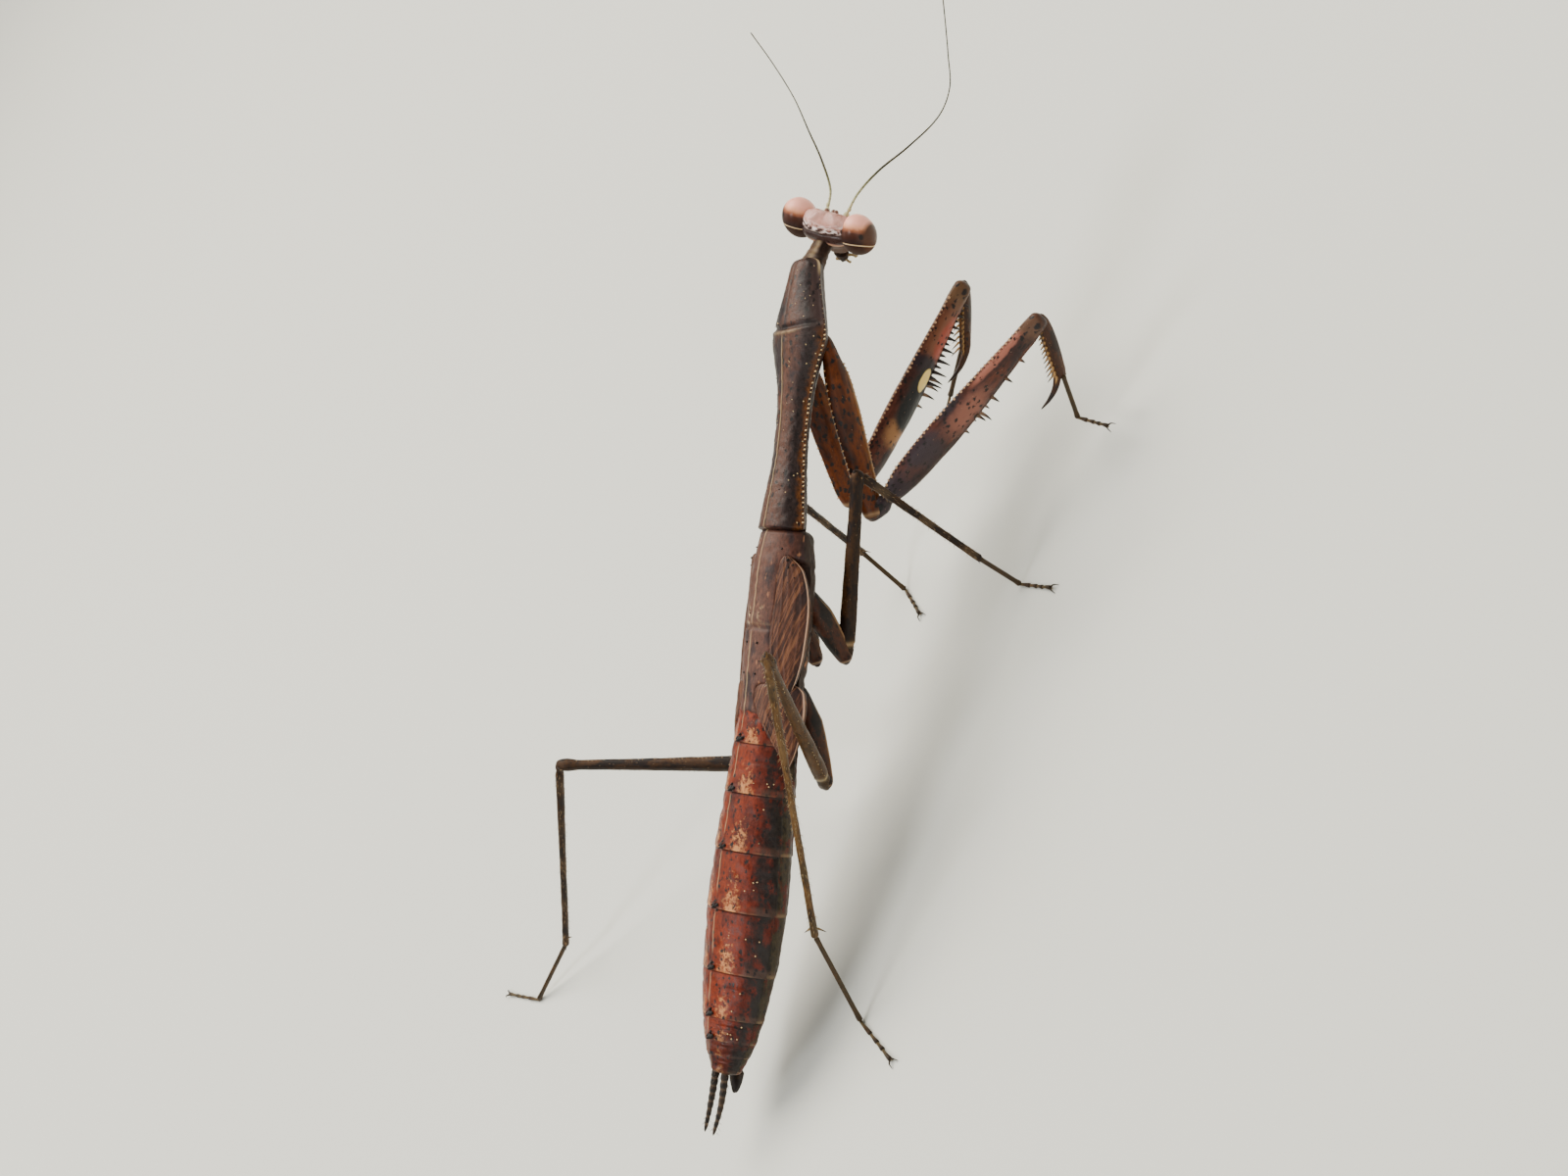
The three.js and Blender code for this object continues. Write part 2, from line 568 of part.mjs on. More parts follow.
function femurSpines(outward) {
  const spines = [];
  const add = (place, angle, reach) => spines.push(legSpine(FORE.femur, FORE_FEMUR,
    { place, angle: angle * outward, reach, lean: 0.25, radius: 0.2 }));
  const { count, from, to, angle, long, short } = FEMUR_INNER;
  for (let i = 0; i < count; i += 1) {
    const place = THREE.MathUtils.lerp(from, to, i / (count - 1));
    const shrink = 1 - 0.5 * THREE.MathUtils.smoothstep(place, 0.6, to);
    add(place, angle, (i % 2 ? short : long) * shrink * (0.92 + 0.16 * chance()));
  }
  FEMUR_OUTER.places.forEach((place, i) => add(place, FEMUR_OUTER.angle, FEMUR_OUTER.reaches[i]));
  FEMUR_SOLE.places.forEach((place, i) => add(place, FEMUR_SOLE.angles[i], FEMUR_SOLE.reaches[i]));
  return spines;
}

// The two rows of spines under a fore tibia, growing longer towards its claw.
const TIBIA_ROWS = [{ count: 6, angle: -2.5 }, { count: 5, angle: 2.5 }];

function tibiaSpines(outward) {
  return TIBIA_ROWS.flatMap(({ count, angle }) => Array.from({ length: count }, (_, i) => {
    const t = i / (count - 1);
    return legSpine(FORE.tibia, FORE_TIBIA, { place: THREE.MathUtils.lerp(0.55, 0.9, t),
      angle: angle * outward, reach: THREE.MathUtils.lerp(0.25, 0.5, t), lean: 0.7, radius: 0.16 });
  }));
}

// Small teeth along the front edge of a fore coxa.
function coxaTeeth(outward) {
  return Array.from({ length: 5 }, (_, i) => legSpine(FORE.coxa, FORE_COXA, {
    place: 0.3 + 0.13 * i, angle: 2.2 * outward, reach: 0.3 + 0.08 * chance(), lean: 0.3,
    radius: 0.2 }));
}

// The pair of spurs at the end of a middle or hind tibia.
function tibiaSpurs(length) {
  return [-1.9, 1.9].map((angle) => legSpine(length, TIBIA,
    { place: 1 - 0.5 / length, angle, reach: 0.55, lean: 0.6, radius: 0.13 }));
}

// The claw at the end of the fore tibia, on its inner side, curving down past the foot.
function tibialClaw(length, outward) {
  const inner = -0.16 * outward;
  const curve = new THREE.QuadraticBezierCurve3(
    new THREE.Vector3(inner * 0.5, length - 0.8, -0.1),
    new THREE.Vector3(inner, length + 0.6, -0.35),
    new THREE.Vector3(inner, length + 1.35, -1.6),
  );
  return tube(curve, 7, 6, (t) => 0.22 - 0.17 * t);
}

// The foot: a first joint coming down from the tibia, then the toes flat on the floor.
function foot(first, size) {
  const toes = (t, angle) => {
    const radius = TOE_RADIUS * (0.95 + 0.06 * Math.cos(t * Math.PI * 8)) - 0.06 * t ** 6;
    return rounded(angle, radius, radius, 1);
  };
  const alongFloor = (t) => ({
    centre: new THREE.Vector3(0, THREE.MathUtils.lerp(-0.1, size.toes, t), TOE_HEIGHT),
    side: new THREE.Vector3(1, 0, 0),
    top: UP,
  });
  const flat = sweep({ sides: 8, steps: 8, outline: toes, frame: alongFloor });
  const ball = new THREE.Vector3(0, 0, TOE_HEIGHT);
  const above = first.clone().sub(ball).setLength(first.distanceTo(ball) + ELBOW).add(ball);
  const down = new THREE.LineCurve3(above, ball);
  const pieces = [tube(down, 8, 2, () => 0.25)];
  for (const side of [-1, 1]) {
    const hook = new THREE.QuadraticBezierCurve3(
      new THREE.Vector3(side * 0.06, size.toes - 0.2, TOE_HEIGHT + 0.04),
      new THREE.Vector3(side * 0.22, size.toes + 0.3, TOE_HEIGHT + 0.16),
      new THREE.Vector3(side * 0.3, size.toes + 0.5, 0.06),
    );
    pieces.push(tube(hook, 4, 3, (t) => 0.13 - 0.1 * t));
  }
  for (const piece of [flat, ...pieces]) {
    const position = piece.attributes.position;
    for (let i = 0; i < position.count; i += 1) position.setZ(i, Math.max(0, position.getZ(i)));
  }
  return fuse(flat, pieces);
}

function leg({ name, size, root, coxa, femur, tibia, basitarsus, toes, raised = 0 }) {
  const fore = size === FORE;
  const carrier = fore ? pronotum : trunk;
  const rootPlace = new THREE.Vector3(root[0], root[1] - (fore ? PRONOTUM_REAR : 0), root[2]);
  const hip = specimen.worldToLocal(carrier.localToWorld(rootPlace));
  const coxaAlong = toward(...coxa);
  const femurAlong = toward(...femur);
  const tibiaAlong = toward(...tibia);
  const femurStart = hip.clone().addScaledVector(coxaAlong, size.coxa);
  const knee = femurStart.clone().addScaledVector(femurAlong, size.femur);
  const ankle = knee.clone().addScaledVector(tibiaAlong, size.tibia);
  const drop = ankle.z - raised - TOE_HEIGHT;
  const fall = -THREE.MathUtils.radToDeg(Math.asin(Math.min(1, drop / size.basitarsus)));
  const ball = ankle.clone().addScaledVector(toward(basitarsus, fall), size.basitarsus);
  const floorPoint = new THREE.Vector3(ball.x, ball.y, raised);

  const tables = fore ? [FORE_COXA, FORE_FEMUR, FORE_TIBIA]
    : [COXA, size === HIND ? HIND_FEMUR : MIDDLE_FEMUR, TIBIA];
  const material = fore ? FINISH.foreleg : size === HIND ? FINISH.hindleg : FINISH.leg;
  const [coxaMesh, femurMesh, tibiaMesh, footMesh] = ['coxa', 'femur', 'tibia', 'tarsus']
    .map((part) => named(`${name}_${part}`, new THREE.BufferGeometry(), material));
  aim(coxaMesh, hip, coxaAlong, UP);
  aim(femurMesh, femurStart, femurAlong, tibiaAlong.clone().negate());
  aim(tibiaMesh, knee, tibiaAlong, femurAlong);
  aim(footMesh, floorPoint, toward(toes, 0), UP);
  coxaMesh.geometry = legPiece(size.coxa, tables[0], fore ? { sides: 12, steps: 8 } : {});
  femurMesh.geometry = legPiece(size.femur, tables[1], fore ? { sides: 12, steps: 14 } : { steps: 8 });
  tibiaMesh.geometry = legPiece(size.tibia, tables[2], {});
  footMesh.updateMatrix();
  const outward = name.startsWith('right') ? 1 : -1;
  const beside = new THREE.Vector3(fore ? outward * 0.3 : 0, 0, fore ? 0.05 : 0);
  const footRoot = ankle.clone().add(beside.applyQuaternion(tibiaMesh.quaternion));
  const turned = footRoot.applyMatrix4(footMesh.matrix.clone().invert());
  footMesh.geometry = foot(turned, size);
  const footAlong = ball.clone().sub(ankle).normalize();
  mitre(coxaMesh, femurMesh, femurStart, coxaAlong, femurAlong);
  mitre(femurMesh, tibiaMesh, knee, femurAlong, tibiaAlong);
  mitre(tibiaMesh, footMesh, ankle, tibiaAlong, footAlong);
  if (fore) {
    const claw = tibialClaw(size.tibia, outward);
    coxaMesh.geometry = fuse(coxaMesh.geometry, coxaTeeth(outward));
    femurMesh.geometry = fuse(femurMesh.geometry, femurSpines(outward));
    tibiaMesh.geometry = fuse(tibiaMesh.geometry, [claw, ...tibiaSpines(outward)]);
  } else {
    tibiaMesh.geometry = fuse(tibiaMesh.geometry, tibiaSpurs(size.tibia));
  }

  // The coxa's top follows the underside of the trunk.
  const envelope = fore ? pronotumEnvelope()
    : trunkLength(TRUNK_OUTLINE, PRONOTUM_REAR, SEGMENT_REARS[2], { steps: 14, grow: GAP });
  coxaMesh.geometry = cut(coxaMesh.geometry, [movedInto(coxaMesh, carrier, envelope)]);
  specimen.add(coxaMesh, femurMesh, tibiaMesh, footMesh);
}

pronotumShield();
thoraxAndPads();
abdomen();
abdomenTip();
headParts();
neck();
LEGS.forEach(leg);

export default specimen;
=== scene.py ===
import math
import random

import bmesh
import bpy
from mathutils import Matrix, Vector, noise


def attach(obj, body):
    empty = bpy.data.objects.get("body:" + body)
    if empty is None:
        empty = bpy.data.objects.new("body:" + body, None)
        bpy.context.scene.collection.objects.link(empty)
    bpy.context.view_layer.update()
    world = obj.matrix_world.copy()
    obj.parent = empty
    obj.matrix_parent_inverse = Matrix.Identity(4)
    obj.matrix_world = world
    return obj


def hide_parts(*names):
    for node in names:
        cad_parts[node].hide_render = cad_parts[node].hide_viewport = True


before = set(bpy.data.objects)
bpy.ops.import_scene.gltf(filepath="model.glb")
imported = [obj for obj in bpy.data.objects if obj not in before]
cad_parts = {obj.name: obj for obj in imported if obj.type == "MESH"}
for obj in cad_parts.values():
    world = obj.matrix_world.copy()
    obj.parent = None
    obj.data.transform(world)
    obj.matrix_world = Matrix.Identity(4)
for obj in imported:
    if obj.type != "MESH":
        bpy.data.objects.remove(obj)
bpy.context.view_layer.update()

# ---- Floor, light and camera --------------------------------------------------------------------
# The specimen stands on a plain pale table, in the even light of a pale ceiling and a large soft
# lamp. Three smaller lamps draw its edges and fill its shadows. What stands in this section is
# placed in metres, and all of the specimen is given in millimetres.
MM = 0.001


def linear(shade):
    """A colour given as sRGB hex, as the linear values that a shader takes."""
    parts = [int(shade[i:i + 2], 16) / 255 for i in (1, 3, 5)]
    return [p / 12.92 if p < 0.04045 else ((p + 0.055) / 1.055) ** 2.4 for p in parts] + [1.0]


def add(tree, kind, inputs=None, stops=None, **settings):
    """A node with its settings. An input is a value, or the socket or node that is linked to it,
    where a node stands for the first of its outputs that is in use."""
    node = tree.nodes.new("ShaderNode" + kind)
    for name, value in settings.items():
        setattr(node, name, value)
    for key, value in (inputs or {}).items():
        if isinstance(value, bpy.types.Node):
            value = next(socket for socket in value.outputs if socket.enabled)
        if isinstance(value, bpy.types.NodeSocket):
            tree.links.new(value, node.inputs[key])
        else:
            node.inputs[key].default_value = value
    for i, (at, shade) in enumerate(stops or []):
        element = node.color_ramp.elements[i] if i < 2 else node.color_ramp.elements.new(at)
        element.position = at
        element.color = linear(shade)
    return node


def lamp(name, at, aim_at, size, power, shade, kind="AREA"):
    """A soft square light at a place, facing another. A far one is even, and its size an angle."""
    data = bpy.data.lights.new(name, kind)
    setattr(data, "size" if kind == "AREA" else "angle", size)
    data.energy = power
    data.color = linear(shade)[:3]
    light = bpy.data.objects.new(name, data)
    light.location = at
    light.rotation_euler = (Vector(aim_at) - Vector(at)).to_track_quat("-Z", "Y").to_euler()
    bpy.context.scene.collection.objects.link(light)


table = bmesh.new()
bmesh.ops.create_grid(table, x_segments=2, y_segments=2, size=3.0)
floor_mesh = bpy.data.meshes.new("table_top")
table.to_mesh(floor_mesh)
table.free()
floor = bpy.data.objects.new("table_top", floor_mesh)
bpy.context.scene.collection.objects.link(floor)
paper = bpy.data.materials.new("matt_paper")
paper.use_nodes = True
paper_inputs = paper.node_tree.nodes["Principled BSDF"].inputs
paper_inputs["Base Color"].default_value = linear("#d9dad2")
paper_inputs["Roughness"].default_value = 0.85
floor_mesh.materials.append(paper)

BODY = (-0.010, 0.004, 0.010)
SHOULDERS = (-0.010, -0.015, 0.017)
OVERHEAD = (0.15, -0.16, 0.46)
lamp("overhead", OVERHEAD, BODY, 0.40, 4.3, "#fff8ec")
lamp("ceiling", OVERHEAD, BODY, math.radians(60), 0.9, "#fffaf0", kind="SUN")
lamp("window", (0.02, 0.29, 0.36), SHOULDERS, 0.12, 0.9, "#ffffff")
lamp("behind", (0.32, 0.10, 0.30), BODY, 0.30, 0.5, "#fff6ea")
lamp("fill", (-0.42, 0.30, 0.20), BODY, 0.34, 0.9, "#fdfbf4")
world = bpy.data.worlds.new("pale_room")
world.use_nodes = True
world.node_tree.nodes["Background"].inputs["Color"].default_value = linear("#e9ecea")
world.node_tree.nodes["Background"].inputs["Strength"].default_value = 0.3
bpy.context.scene.world = world

# The camera looks down on the right side, rolled so that the head is at the top of the frame.
CAMERA_AT = Vector((-104.67, 26.92, 72.071))
CAMERA_RIGHT = Vector((-0.5661, -0.3769, -0.7331))
CAMERA_UP = Vector((0.0467, -0.9026, 0.428))
camera_data = bpy.data.cameras.new("camera")
camera_data.lens = 50
camera_data.sensor_width = 36
camera_data.clip_start = 0.005
camera = bpy.data.objects.new("camera", camera_data)
back = CAMERA_RIGHT.cross(CAMERA_UP)
turn = Matrix((CAMERA_RIGHT, back.cross(CAMERA_RIGHT), back)).transposed()
camera.matrix_world = Matrix.Translation(CAMERA_AT * MM) @ turn.to_4x4()
bpy.context.scene.collection.objects.link(camera)
bpy.context.scene.camera = camera


# ---- Pronotum -----------------------------------------------------------------------------------
# The long shield behind the head: one saddle of tanned chitin that the fore legs hang from, with
# a groove across it, a fine keel and a row of small teeth on each edge. Membrane joins it to the
# head and the thorax.
def turned(degrees, axis):
    return Matrix.Rotation(math.radians(degrees), 4, axis)


TRUNK_X, TRUNK_Y, TRUNK_HEIGHT = -10.5, 3.1, 11.81
TRUNK = Matrix.Translation((TRUNK_X, TRUNK_Y, TRUNK_HEIGHT)) @ turned(-19.5, "X")
# Places along the trunk are counted backwards from the point above the middle legs.
SHIELD_FRONT, GROOVE, SHIELD_REAR = -17.5, -13.6, -2.85
SHIELD = TRUNK @ Matrix.Translation((0, SHIELD_REAR, 0.2)) @ turned(3.5, "Z") @ turned(0.9, "X")
# place along the trunk, half width, height above the axis, depth below it
SHIELD_OUTLINE = [
    (-17.5, 0.86, 0.62, 0.6), (-17.1, 1.06, 0.8, 0.75), (-16.0, 1.27, 0.98, 0.9),
    (-14.6, 1.7, 1.15, 1.0), (-13.6, 2.05, 1.21, 1.04), (-12.9, 2.14, 1.19, 1.04),
    (-12.0, 1.86, 1.1, 0.95), (-10.5, 1.4, 0.92, 0.82), (-8.5, 1.22, 0.82, 0.75),
    (-6.5, 1.26, 0.88, 0.78), (-4.6, 1.5, 1.1, 0.88), (-2.85, 1.72, 1.3, 0.95),
]
SHIELD_ROOF = 1.12  # how far the sides of the shield slope like a roof
SHIELD_SIDES, SHIELD_RINGS = 132, 262
NOTHING = (0, 0, 0)  # neither pale, dark nor painted highlight
BLACK = (0, 1, 0)


def blend(low, high, t):
    return low + (high - low) * t


def smooth(low, high, value):
    """0 below low, 1 above high, and an even curve between."""
    t = min(max((value - low) / (high - low), 0.0), 1.0)
    return t * t * (3 - 2 * t)


def hump(value, centre, spread):
    """1 at the centre, and falling away evenly on both sides."""
    return math.exp(-(((value - centre) / spread) ** 2))


def eased(table, place):
    """The values of a table at a place in its first column, on a smooth curve through its rows."""
    last = len(table) - 1
    row = 0
    while row < last - 1 and place > table[row + 1][0]:
        row += 1
    before, a, b, after = (table[min(max(row + k, 0), last)] for k in (-1, 0, 1, 2))
    span = b[0] - a[0]
    t = min(max((place - a[0]) / span, 0.0), 1.0)
    values = []
    for i in range(1, len(a)):
        leave = (b[i] - before[i]) / (b[0] - before[0]) * span
        arrive = (after[i] - a[i]) / (after[0] - a[0]) * span
        values.append((2 * t ** 3 - 3 * t ** 2 + 1) * a[i] + (t ** 3 - 2 * t ** 2 + t) * leave
                      + (3 * t ** 2 - 2 * t ** 3) * b[i] + (t ** 3 - t ** 2) * arrive)
    return values


def rounded(angle, width, height, bulge):
    """A point of an outline, angle 0 being on top. Bulge 1 is an ellipse, more a roof, less a
    box."""
    s, c = math.sin(angle), math.cos(angle)
    return math.copysign(abs(s) ** bulge * width, s), math.copysign(abs(c) ** bulge * height, c)


def section(outline, along, angle, roof, belly=0.95):
    """A point on the outline of a part at a place along it, with one bulge above and one below."""
    width, height, depth = eased(outline, along)
    if math.cos(angle) > 0:
        return rounded(angle, width, height, roof)
    return rounded(angle, width, depth, belly)


def pushed(x, y, z, full, lift, aside=0.0):
    """A point that is pushed out from the axis and to its own side, where the part is full."""
    out = Vector((x, 0, z)).normalized() * lift + Vector((math.copysign(aside, x), 0, 0))
    return Vector((x * full, y, z * full)) + out * full


def rough_at(scale, *point):
    """How far the natural unevenness of a surface lies above or below it, from -1 to 1."""
    return noise.noise(Vector(point) * scale)


def form():
    """An empty mesh whose points know their place on the part, how they lie round and along it,
    how pale or dark they are, and how much painted highlight lies on them."""
    bm = bmesh.new()
    for name in ("place", "lie", "marks"):
        bm.verts.layers.float_vector.new(name)
    return bm


def join(bm, part):
    """Adds a closed form that was made apart, with its faces turned outwards."""
    if part.calc_volume(signed=True) < 0:
        bmesh.ops.reverse_faces(part, faces=part.faces)
    scrap = bpy.data.meshes.new("scrap")
    part.to_mesh(scrap)
    part.free()
    bm.from_mesh(scrap)
    bpy.data.meshes.remove(scrap)


def skin(bm, sides, rings, point, marks=None, lie=None):
    """Adds a closed form. point(ring, angle) places each of its points, angle 0 being on top,
    marks says how pale and dark it is there and how much painted highlight it has, and lie how
    far along a pattern it is."""
    part = form()
    place, lay, mark = (part.verts.layers.float_vector[n] for n in ("place", "lie", "marks"))
    bmesh.ops.create_uvsphere(part, u_segments=sides, v_segments=rings, radius=1)
    for vertex in part.verts:
        ring = round(math.acos(min(max(vertex.co.z, -1.0), 1.0)) / math.pi * rings)
        angle = math.atan2(vertex.co.x, vertex.co.y)
        vertex.co = point(ring, angle)
        vertex[place] = vertex.co
        vertex[lay] = (angle, *(lie(ring) if lie else (vertex.co.y, 0)))
        vertex[mark] = marks(ring, angle) if marks else NOTHING
    join(bm, part)


def stations(start, end, rings, front_cap, rear_cap, cap_rings=6):
    """Where each ring of a form lies, and how full it is, with both of its ends rounded off."""
    rows = []
    body = rings - 2 * cap_rings
    for i in range(rings + 1):
        if i < cap_rings:
            quarter = i / cap_rings * math.pi / 2
            rows.append((start + front_cap * (1 - math.cos(quarter)), math.sin(quarter)))
        elif i > rings - cap_rings:
            quarter = (rings - i) / cap_rings * math.pi / 2
            rows.append((end - rear_cap * (1 - math.cos(quarter)), math.sin(quarter)))
        else:
            t = (i - cap_rings) / body
            rows.append((blend(start + front_cap, end - rear_cap, t), 1.0))
    return rows


def horn(bm, path, radius, sides=7, marks=NOTHING, tip=None, flat=1.0):
    """Adds a spine, hair or feeler along a path that its first and last points close. radius(t) is
    its thickness, marks is its marks or a function of t that gives them, and tip those at its
    far end."""
    path = [Vector(p) for p in path]
    last = len(path) - 1
    side = (path[1] - path[0]).orthogonal().normalized()
    frames = []
    for i, centre in enumerate(path):
        along = (path[min(i + 1, last)] - path[max(i - 1, 0)]).normalized()
        side = (side - along * side.dot(along)).normalized()
        frames.append((centre, side.copy(), along.cross(side)))

    def horn_point(ring, angle):
        centre, across, up = frames[ring]
        reach = 0.0 if ring in (0, last) else radius(ring / last)
        return centre + across * math.sin(angle) * reach + up * math.cos(angle) * reach * flat

    def horn_marks(ring, angle):
        if callable(marks):
            return marks(ring / last)
        return Vector(marks).lerp(Vector(tip), smooth(0.35, 0.8, ring / last)) if tip else marks

    skin(bm, sides, last, horn_point, horn_marks, lambda ring: (ring / last, 1))


def curved(points, count):
    """Points along a smooth curve through the ones given."""
    table, run = [], 0.0
    for i, p in enumerate(points):
        run += (Vector(p) - Vector(points[i - 1])).length if i else 0.0
        table.append((run, *p))
    return [Vector(eased(table, run * i / count)) for i in range(count + 1)]


def spike(bm, root, direction, length, radius, bend=(0, 0, 0), steps=6, **look):
    """Adds a tapering spine that starts under the surface at root and bends towards its tip."""
    root, direction, bend = Vector(root), Vector(direction).normalized(), Vector(bend)
    start = root - direction * radius * 0.8
    path = [start + direction * (length + radius * 0.8) * (i / steps) + bend * (i / steps) ** 2
            for i in range(steps + 1)]
    horn(bm, path, lambda t: radius * (1.0 - t) ** 0.8 + radius * 0.06, **look)


def settle(bm, name, place, material, slot, *nodes):
    """Makes a form a piece of the specimen, set where it belongs, in metres."""
    bm.transform(Matrix.Scale(MM, 4) @ place)
    mesh = bpy.data.meshes.new(name)
    bm.to_mesh(mesh)
    bm.free()
    mesh.shade_smooth()
    mesh.materials.append(material)
    piece = bpy.data.objects.new(name, mesh)
    bpy.context.scene.collection.objects.link(piece)
    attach(piece, "root")
    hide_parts(*nodes)


def bare_finish(name):
    """A new material without nodes, and its tree."""
    material = bpy.data.materials.new(name)
    material.use_nodes = True
    material.node_tree.nodes.clear()
    return material, material.node_tree


def known(tree, name):
    """What each point of a form knows, as three numbers."""
    at = add(tree, "Attribute", attribute_name=name)
    return add(tree, "SeparateXYZ", {0: at.outputs["Vector"]})


def stain(tree, colour, cover, shade, low=None, high=None, most=1.0, **curve):
    """Lays a shade over a colour as far as its cover says, or where the cover, an uneven amount,
    goes from low to high."""
    if low is not None:
        cover = add(tree, "MapRange", {0: cover, 1: low, 2: high, 4: most}, **curve)
    return add(tree, "Mix", {0: cover, 6: colour, 7: linear(shade)}, data_type="RGBA")


def cuticle(name, girth, patches, streak, spots, pale="#e6c793", dark="#16100f", rough=0.45,
            grain=0.012, coat=0.0, shine=0.3, depth=0.46, vary=(0.2, 0.86),
            pattern=None, dull=None, over=None):
    """Tanned insect cuticle: colours that change round the form (girth: angle from the top and
    shade), blotches (how many to a millimetre, how stretched along, how many and their shade), fine
    streaks (how many to a millimetre), and dark pits (how many to a millimetre, their size and how
    many are left out). pale and dark are the shades of its marks, vary and depth say how light the
    streaks and the whole are, pattern is painted under the pits and over on top, and dull says
    where it doesn't shine."""
    material, tree = bare_finish(name)
    place = add(tree, "Attribute", attribute_name="place").outputs["Vector"]
    lie, marks = known(tree, "lie"), known(tree, "marks")
    # How far round the form a point is, made uneven so that no zone has a straight edge.
    waver = add(tree, "TexNoise", {"Vector": place, "Scale": 1.6, "Detail": 5.0, "Roughness": 0.65})
    angle = add(tree, "Math", {0: lie}, operation="ABSOLUTE")
    shift = add(tree, "Math", {0: waver, 1: 0.7, 2: -0.35}, operation="MULTIPLY_ADD")
    around = add(tree, "Math", {0: angle, 1: shift}, operation="ADD")
    share = add(tree, "Math", {0: around, 1: math.pi}, operation="DIVIDE")
    colour = add(tree, "ValToRGB", {0: share}, stops=[(a / math.pi, tone) for a, tone in girth])
    # Blotches, larger along the part than across it.
    scale, stretch, amount, shade = patches
    long = add(tree, "Mapping", {"Vector": place, "Scale": (1.0, stretch, 1.0)})
    cloud = add(tree, "TexNoise",
                {"Vector": long, "Scale": scale, "Detail": 7.0, "Roughness": 0.62})
    colour = stain(tree, colour, cloud, shade, 0.62 - amount * 0.3, 0.72 - amount * 0.3,
                   interpolation_type="SMOOTHSTEP")
    # Fine lengthwise streaks and grains, lighter and darker.
    fine = add(tree, "TexNoise", {"Vector": long, "Scale": streak, "Detail": 4.0, "Roughness": 0.7})
    light = add(tree, "MapRange", {0: fine, 1: 0.25, 2: 0.75, 3: vary[0], 4: vary[1]})
    colour = add(tree, "VectorMath", {0: colour, "Scale": light}, operation="SCALE")
    colour = add(tree, "HueSaturation", {"Saturation": 1.1, "Value": depth, "Color": colour})
    if pattern:
        colour = pattern(tree, place, lie, colour)
    # Dark pits, uneven and longer than wide, with some of them left out at random.
    spacing, size, missing = spots
    stir = add(tree, "TexNoise", {"Vector": place, "Scale": 4.5, "Detail": 3.0, "Roughness": 0.6})
    bent = add(tree, "VectorMath", {0: stir.outputs["Color"], 1: (0.34, 0.5, 0.34), 2: place},
               operation="MULTIPLY_ADD")
    bent = add(tree, "Mapping", {"Vector": bent, "Scale": (1.0, 0.72, 1.0)})
    cells = add(tree, "TexVoronoi", {"Vector": bent, "Scale": spacing, "Randomness": 0.95})
    ink = add(tree, "MapRange", {0: cells, 1: size, 2: size * 0.5}, interpolation_type="SMOOTHSTEP")
    chosen = add(tree, "SeparateColor", {0: cells.outputs["Color"]})
    chosen = add(tree, "Math", {0: chosen, 1: missing}, operation="GREATER_THAN")
    ink = add(tree, "Math", {0: ink, 1: chosen}, operation="MULTIPLY")
    colour = stain(tree, colour, ink, dark)
    colour = stain(tree, colour, marks.outputs[0], pale)
    colour = stain(tree, colour, marks.outputs[1], dark)
    if over:
        colour = over(tree, place, lie, colour)
    # The surface is finely grained, and dips at each pit.
    pebble = add(tree, "TexNoise",
                 {"Vector": place, "Scale": 14.0, "Detail": 3.0, "Roughness": 0.6})
    height = add(tree, "Math", {0: ink, 1: -0.3, 2: pebble}, operation="MULTIPLY_ADD")
    relief = add(tree, "Bump", {"Height": height, "Distance": grain * MM, "Strength": 1.0})
    gloss = add(tree, "MapRange", {0: fine, 1: 0.3, 2: 0.7, 3: rough - 0.1, 4: rough + 0.14})
    if dull:
        gloss = add(tree, "Mix", {0: dull(tree, place), 2: gloss, 3: 0.95})
    shader = add(tree, "BsdfPrincipled", {
        "Base Color": colour, "Roughness": gloss, "Normal": relief, "IOR": 1.45,
        "Specular IOR Level": shine, "Coat Weight": coat, "Coat Roughness": 0.18})
    add(tree, "OutputMaterial", {"Surface": shader})
    return material


def shield_patterns(tree, place, lie, colour):
    """In front of the groove the edge is a dusky mauve, where behind it it is orange."""
    y = add(tree, "SeparateXYZ", {0: place}).outputs[1]
    groove = GROOVE - SHIELD_REAR
    front = add(tree, "MapRange", {0: y, 1: groove + 0.9, 2: groove - 0.5})
    steep = add(tree, "Math", {0: lie}, operation="ABSOLUTE")
    edge = add(tree, "MapRange", {0: steep, 1: 1.15, 2: 1.4})
    dusk = add(tree, "Math", {0: front, 1: edge}, operation="MULTIPLY")
    return stain(tree, colour, dusk, "#3a2c2a")


# Tanned chitin: a satin purple-brown with rusty blotches, darker on the slopes, orange by the edge.
shield_chitin = cuticle(
    "tanned_chitin_shield",
    girth=[(0.0, "#8a6251"), (0.45, "#94604c"), (0.8, "#7b5245"), (1.1, "#4c3a38"),
           (1.38, "#4a3833"), (1.5, "#8a5838"), (1.62, "#a56a3e"), (1.9, "#5f4133"),
           (3.0, "#6d5240")],
    patches=(0.8, 0.4, 0.4, "#4f3e3f"), streak=9.0, spots=(2.9, 0.36, 0.3), rough=0.42,
    pattern=shield_patterns)

pronotum = form()
shield_rows = stations(SHIELD_FRONT, SHIELD_REAR + 0.1, SHIELD_RINGS, 0.55, 0.25, 14)


def near_keel(angle):
    """Draws the points of a ring together on top, where the relief is finest."""
    return angle - 0.4 * math.sin(angle) * (0.5 + 0.5 * math.cos(angle))


def groove_at(angle):
    """The groove bows backwards in the middle."""
    return GROOVE - 0.2 + 0.3 * max(0.0, math.cos(angle)) ** 2


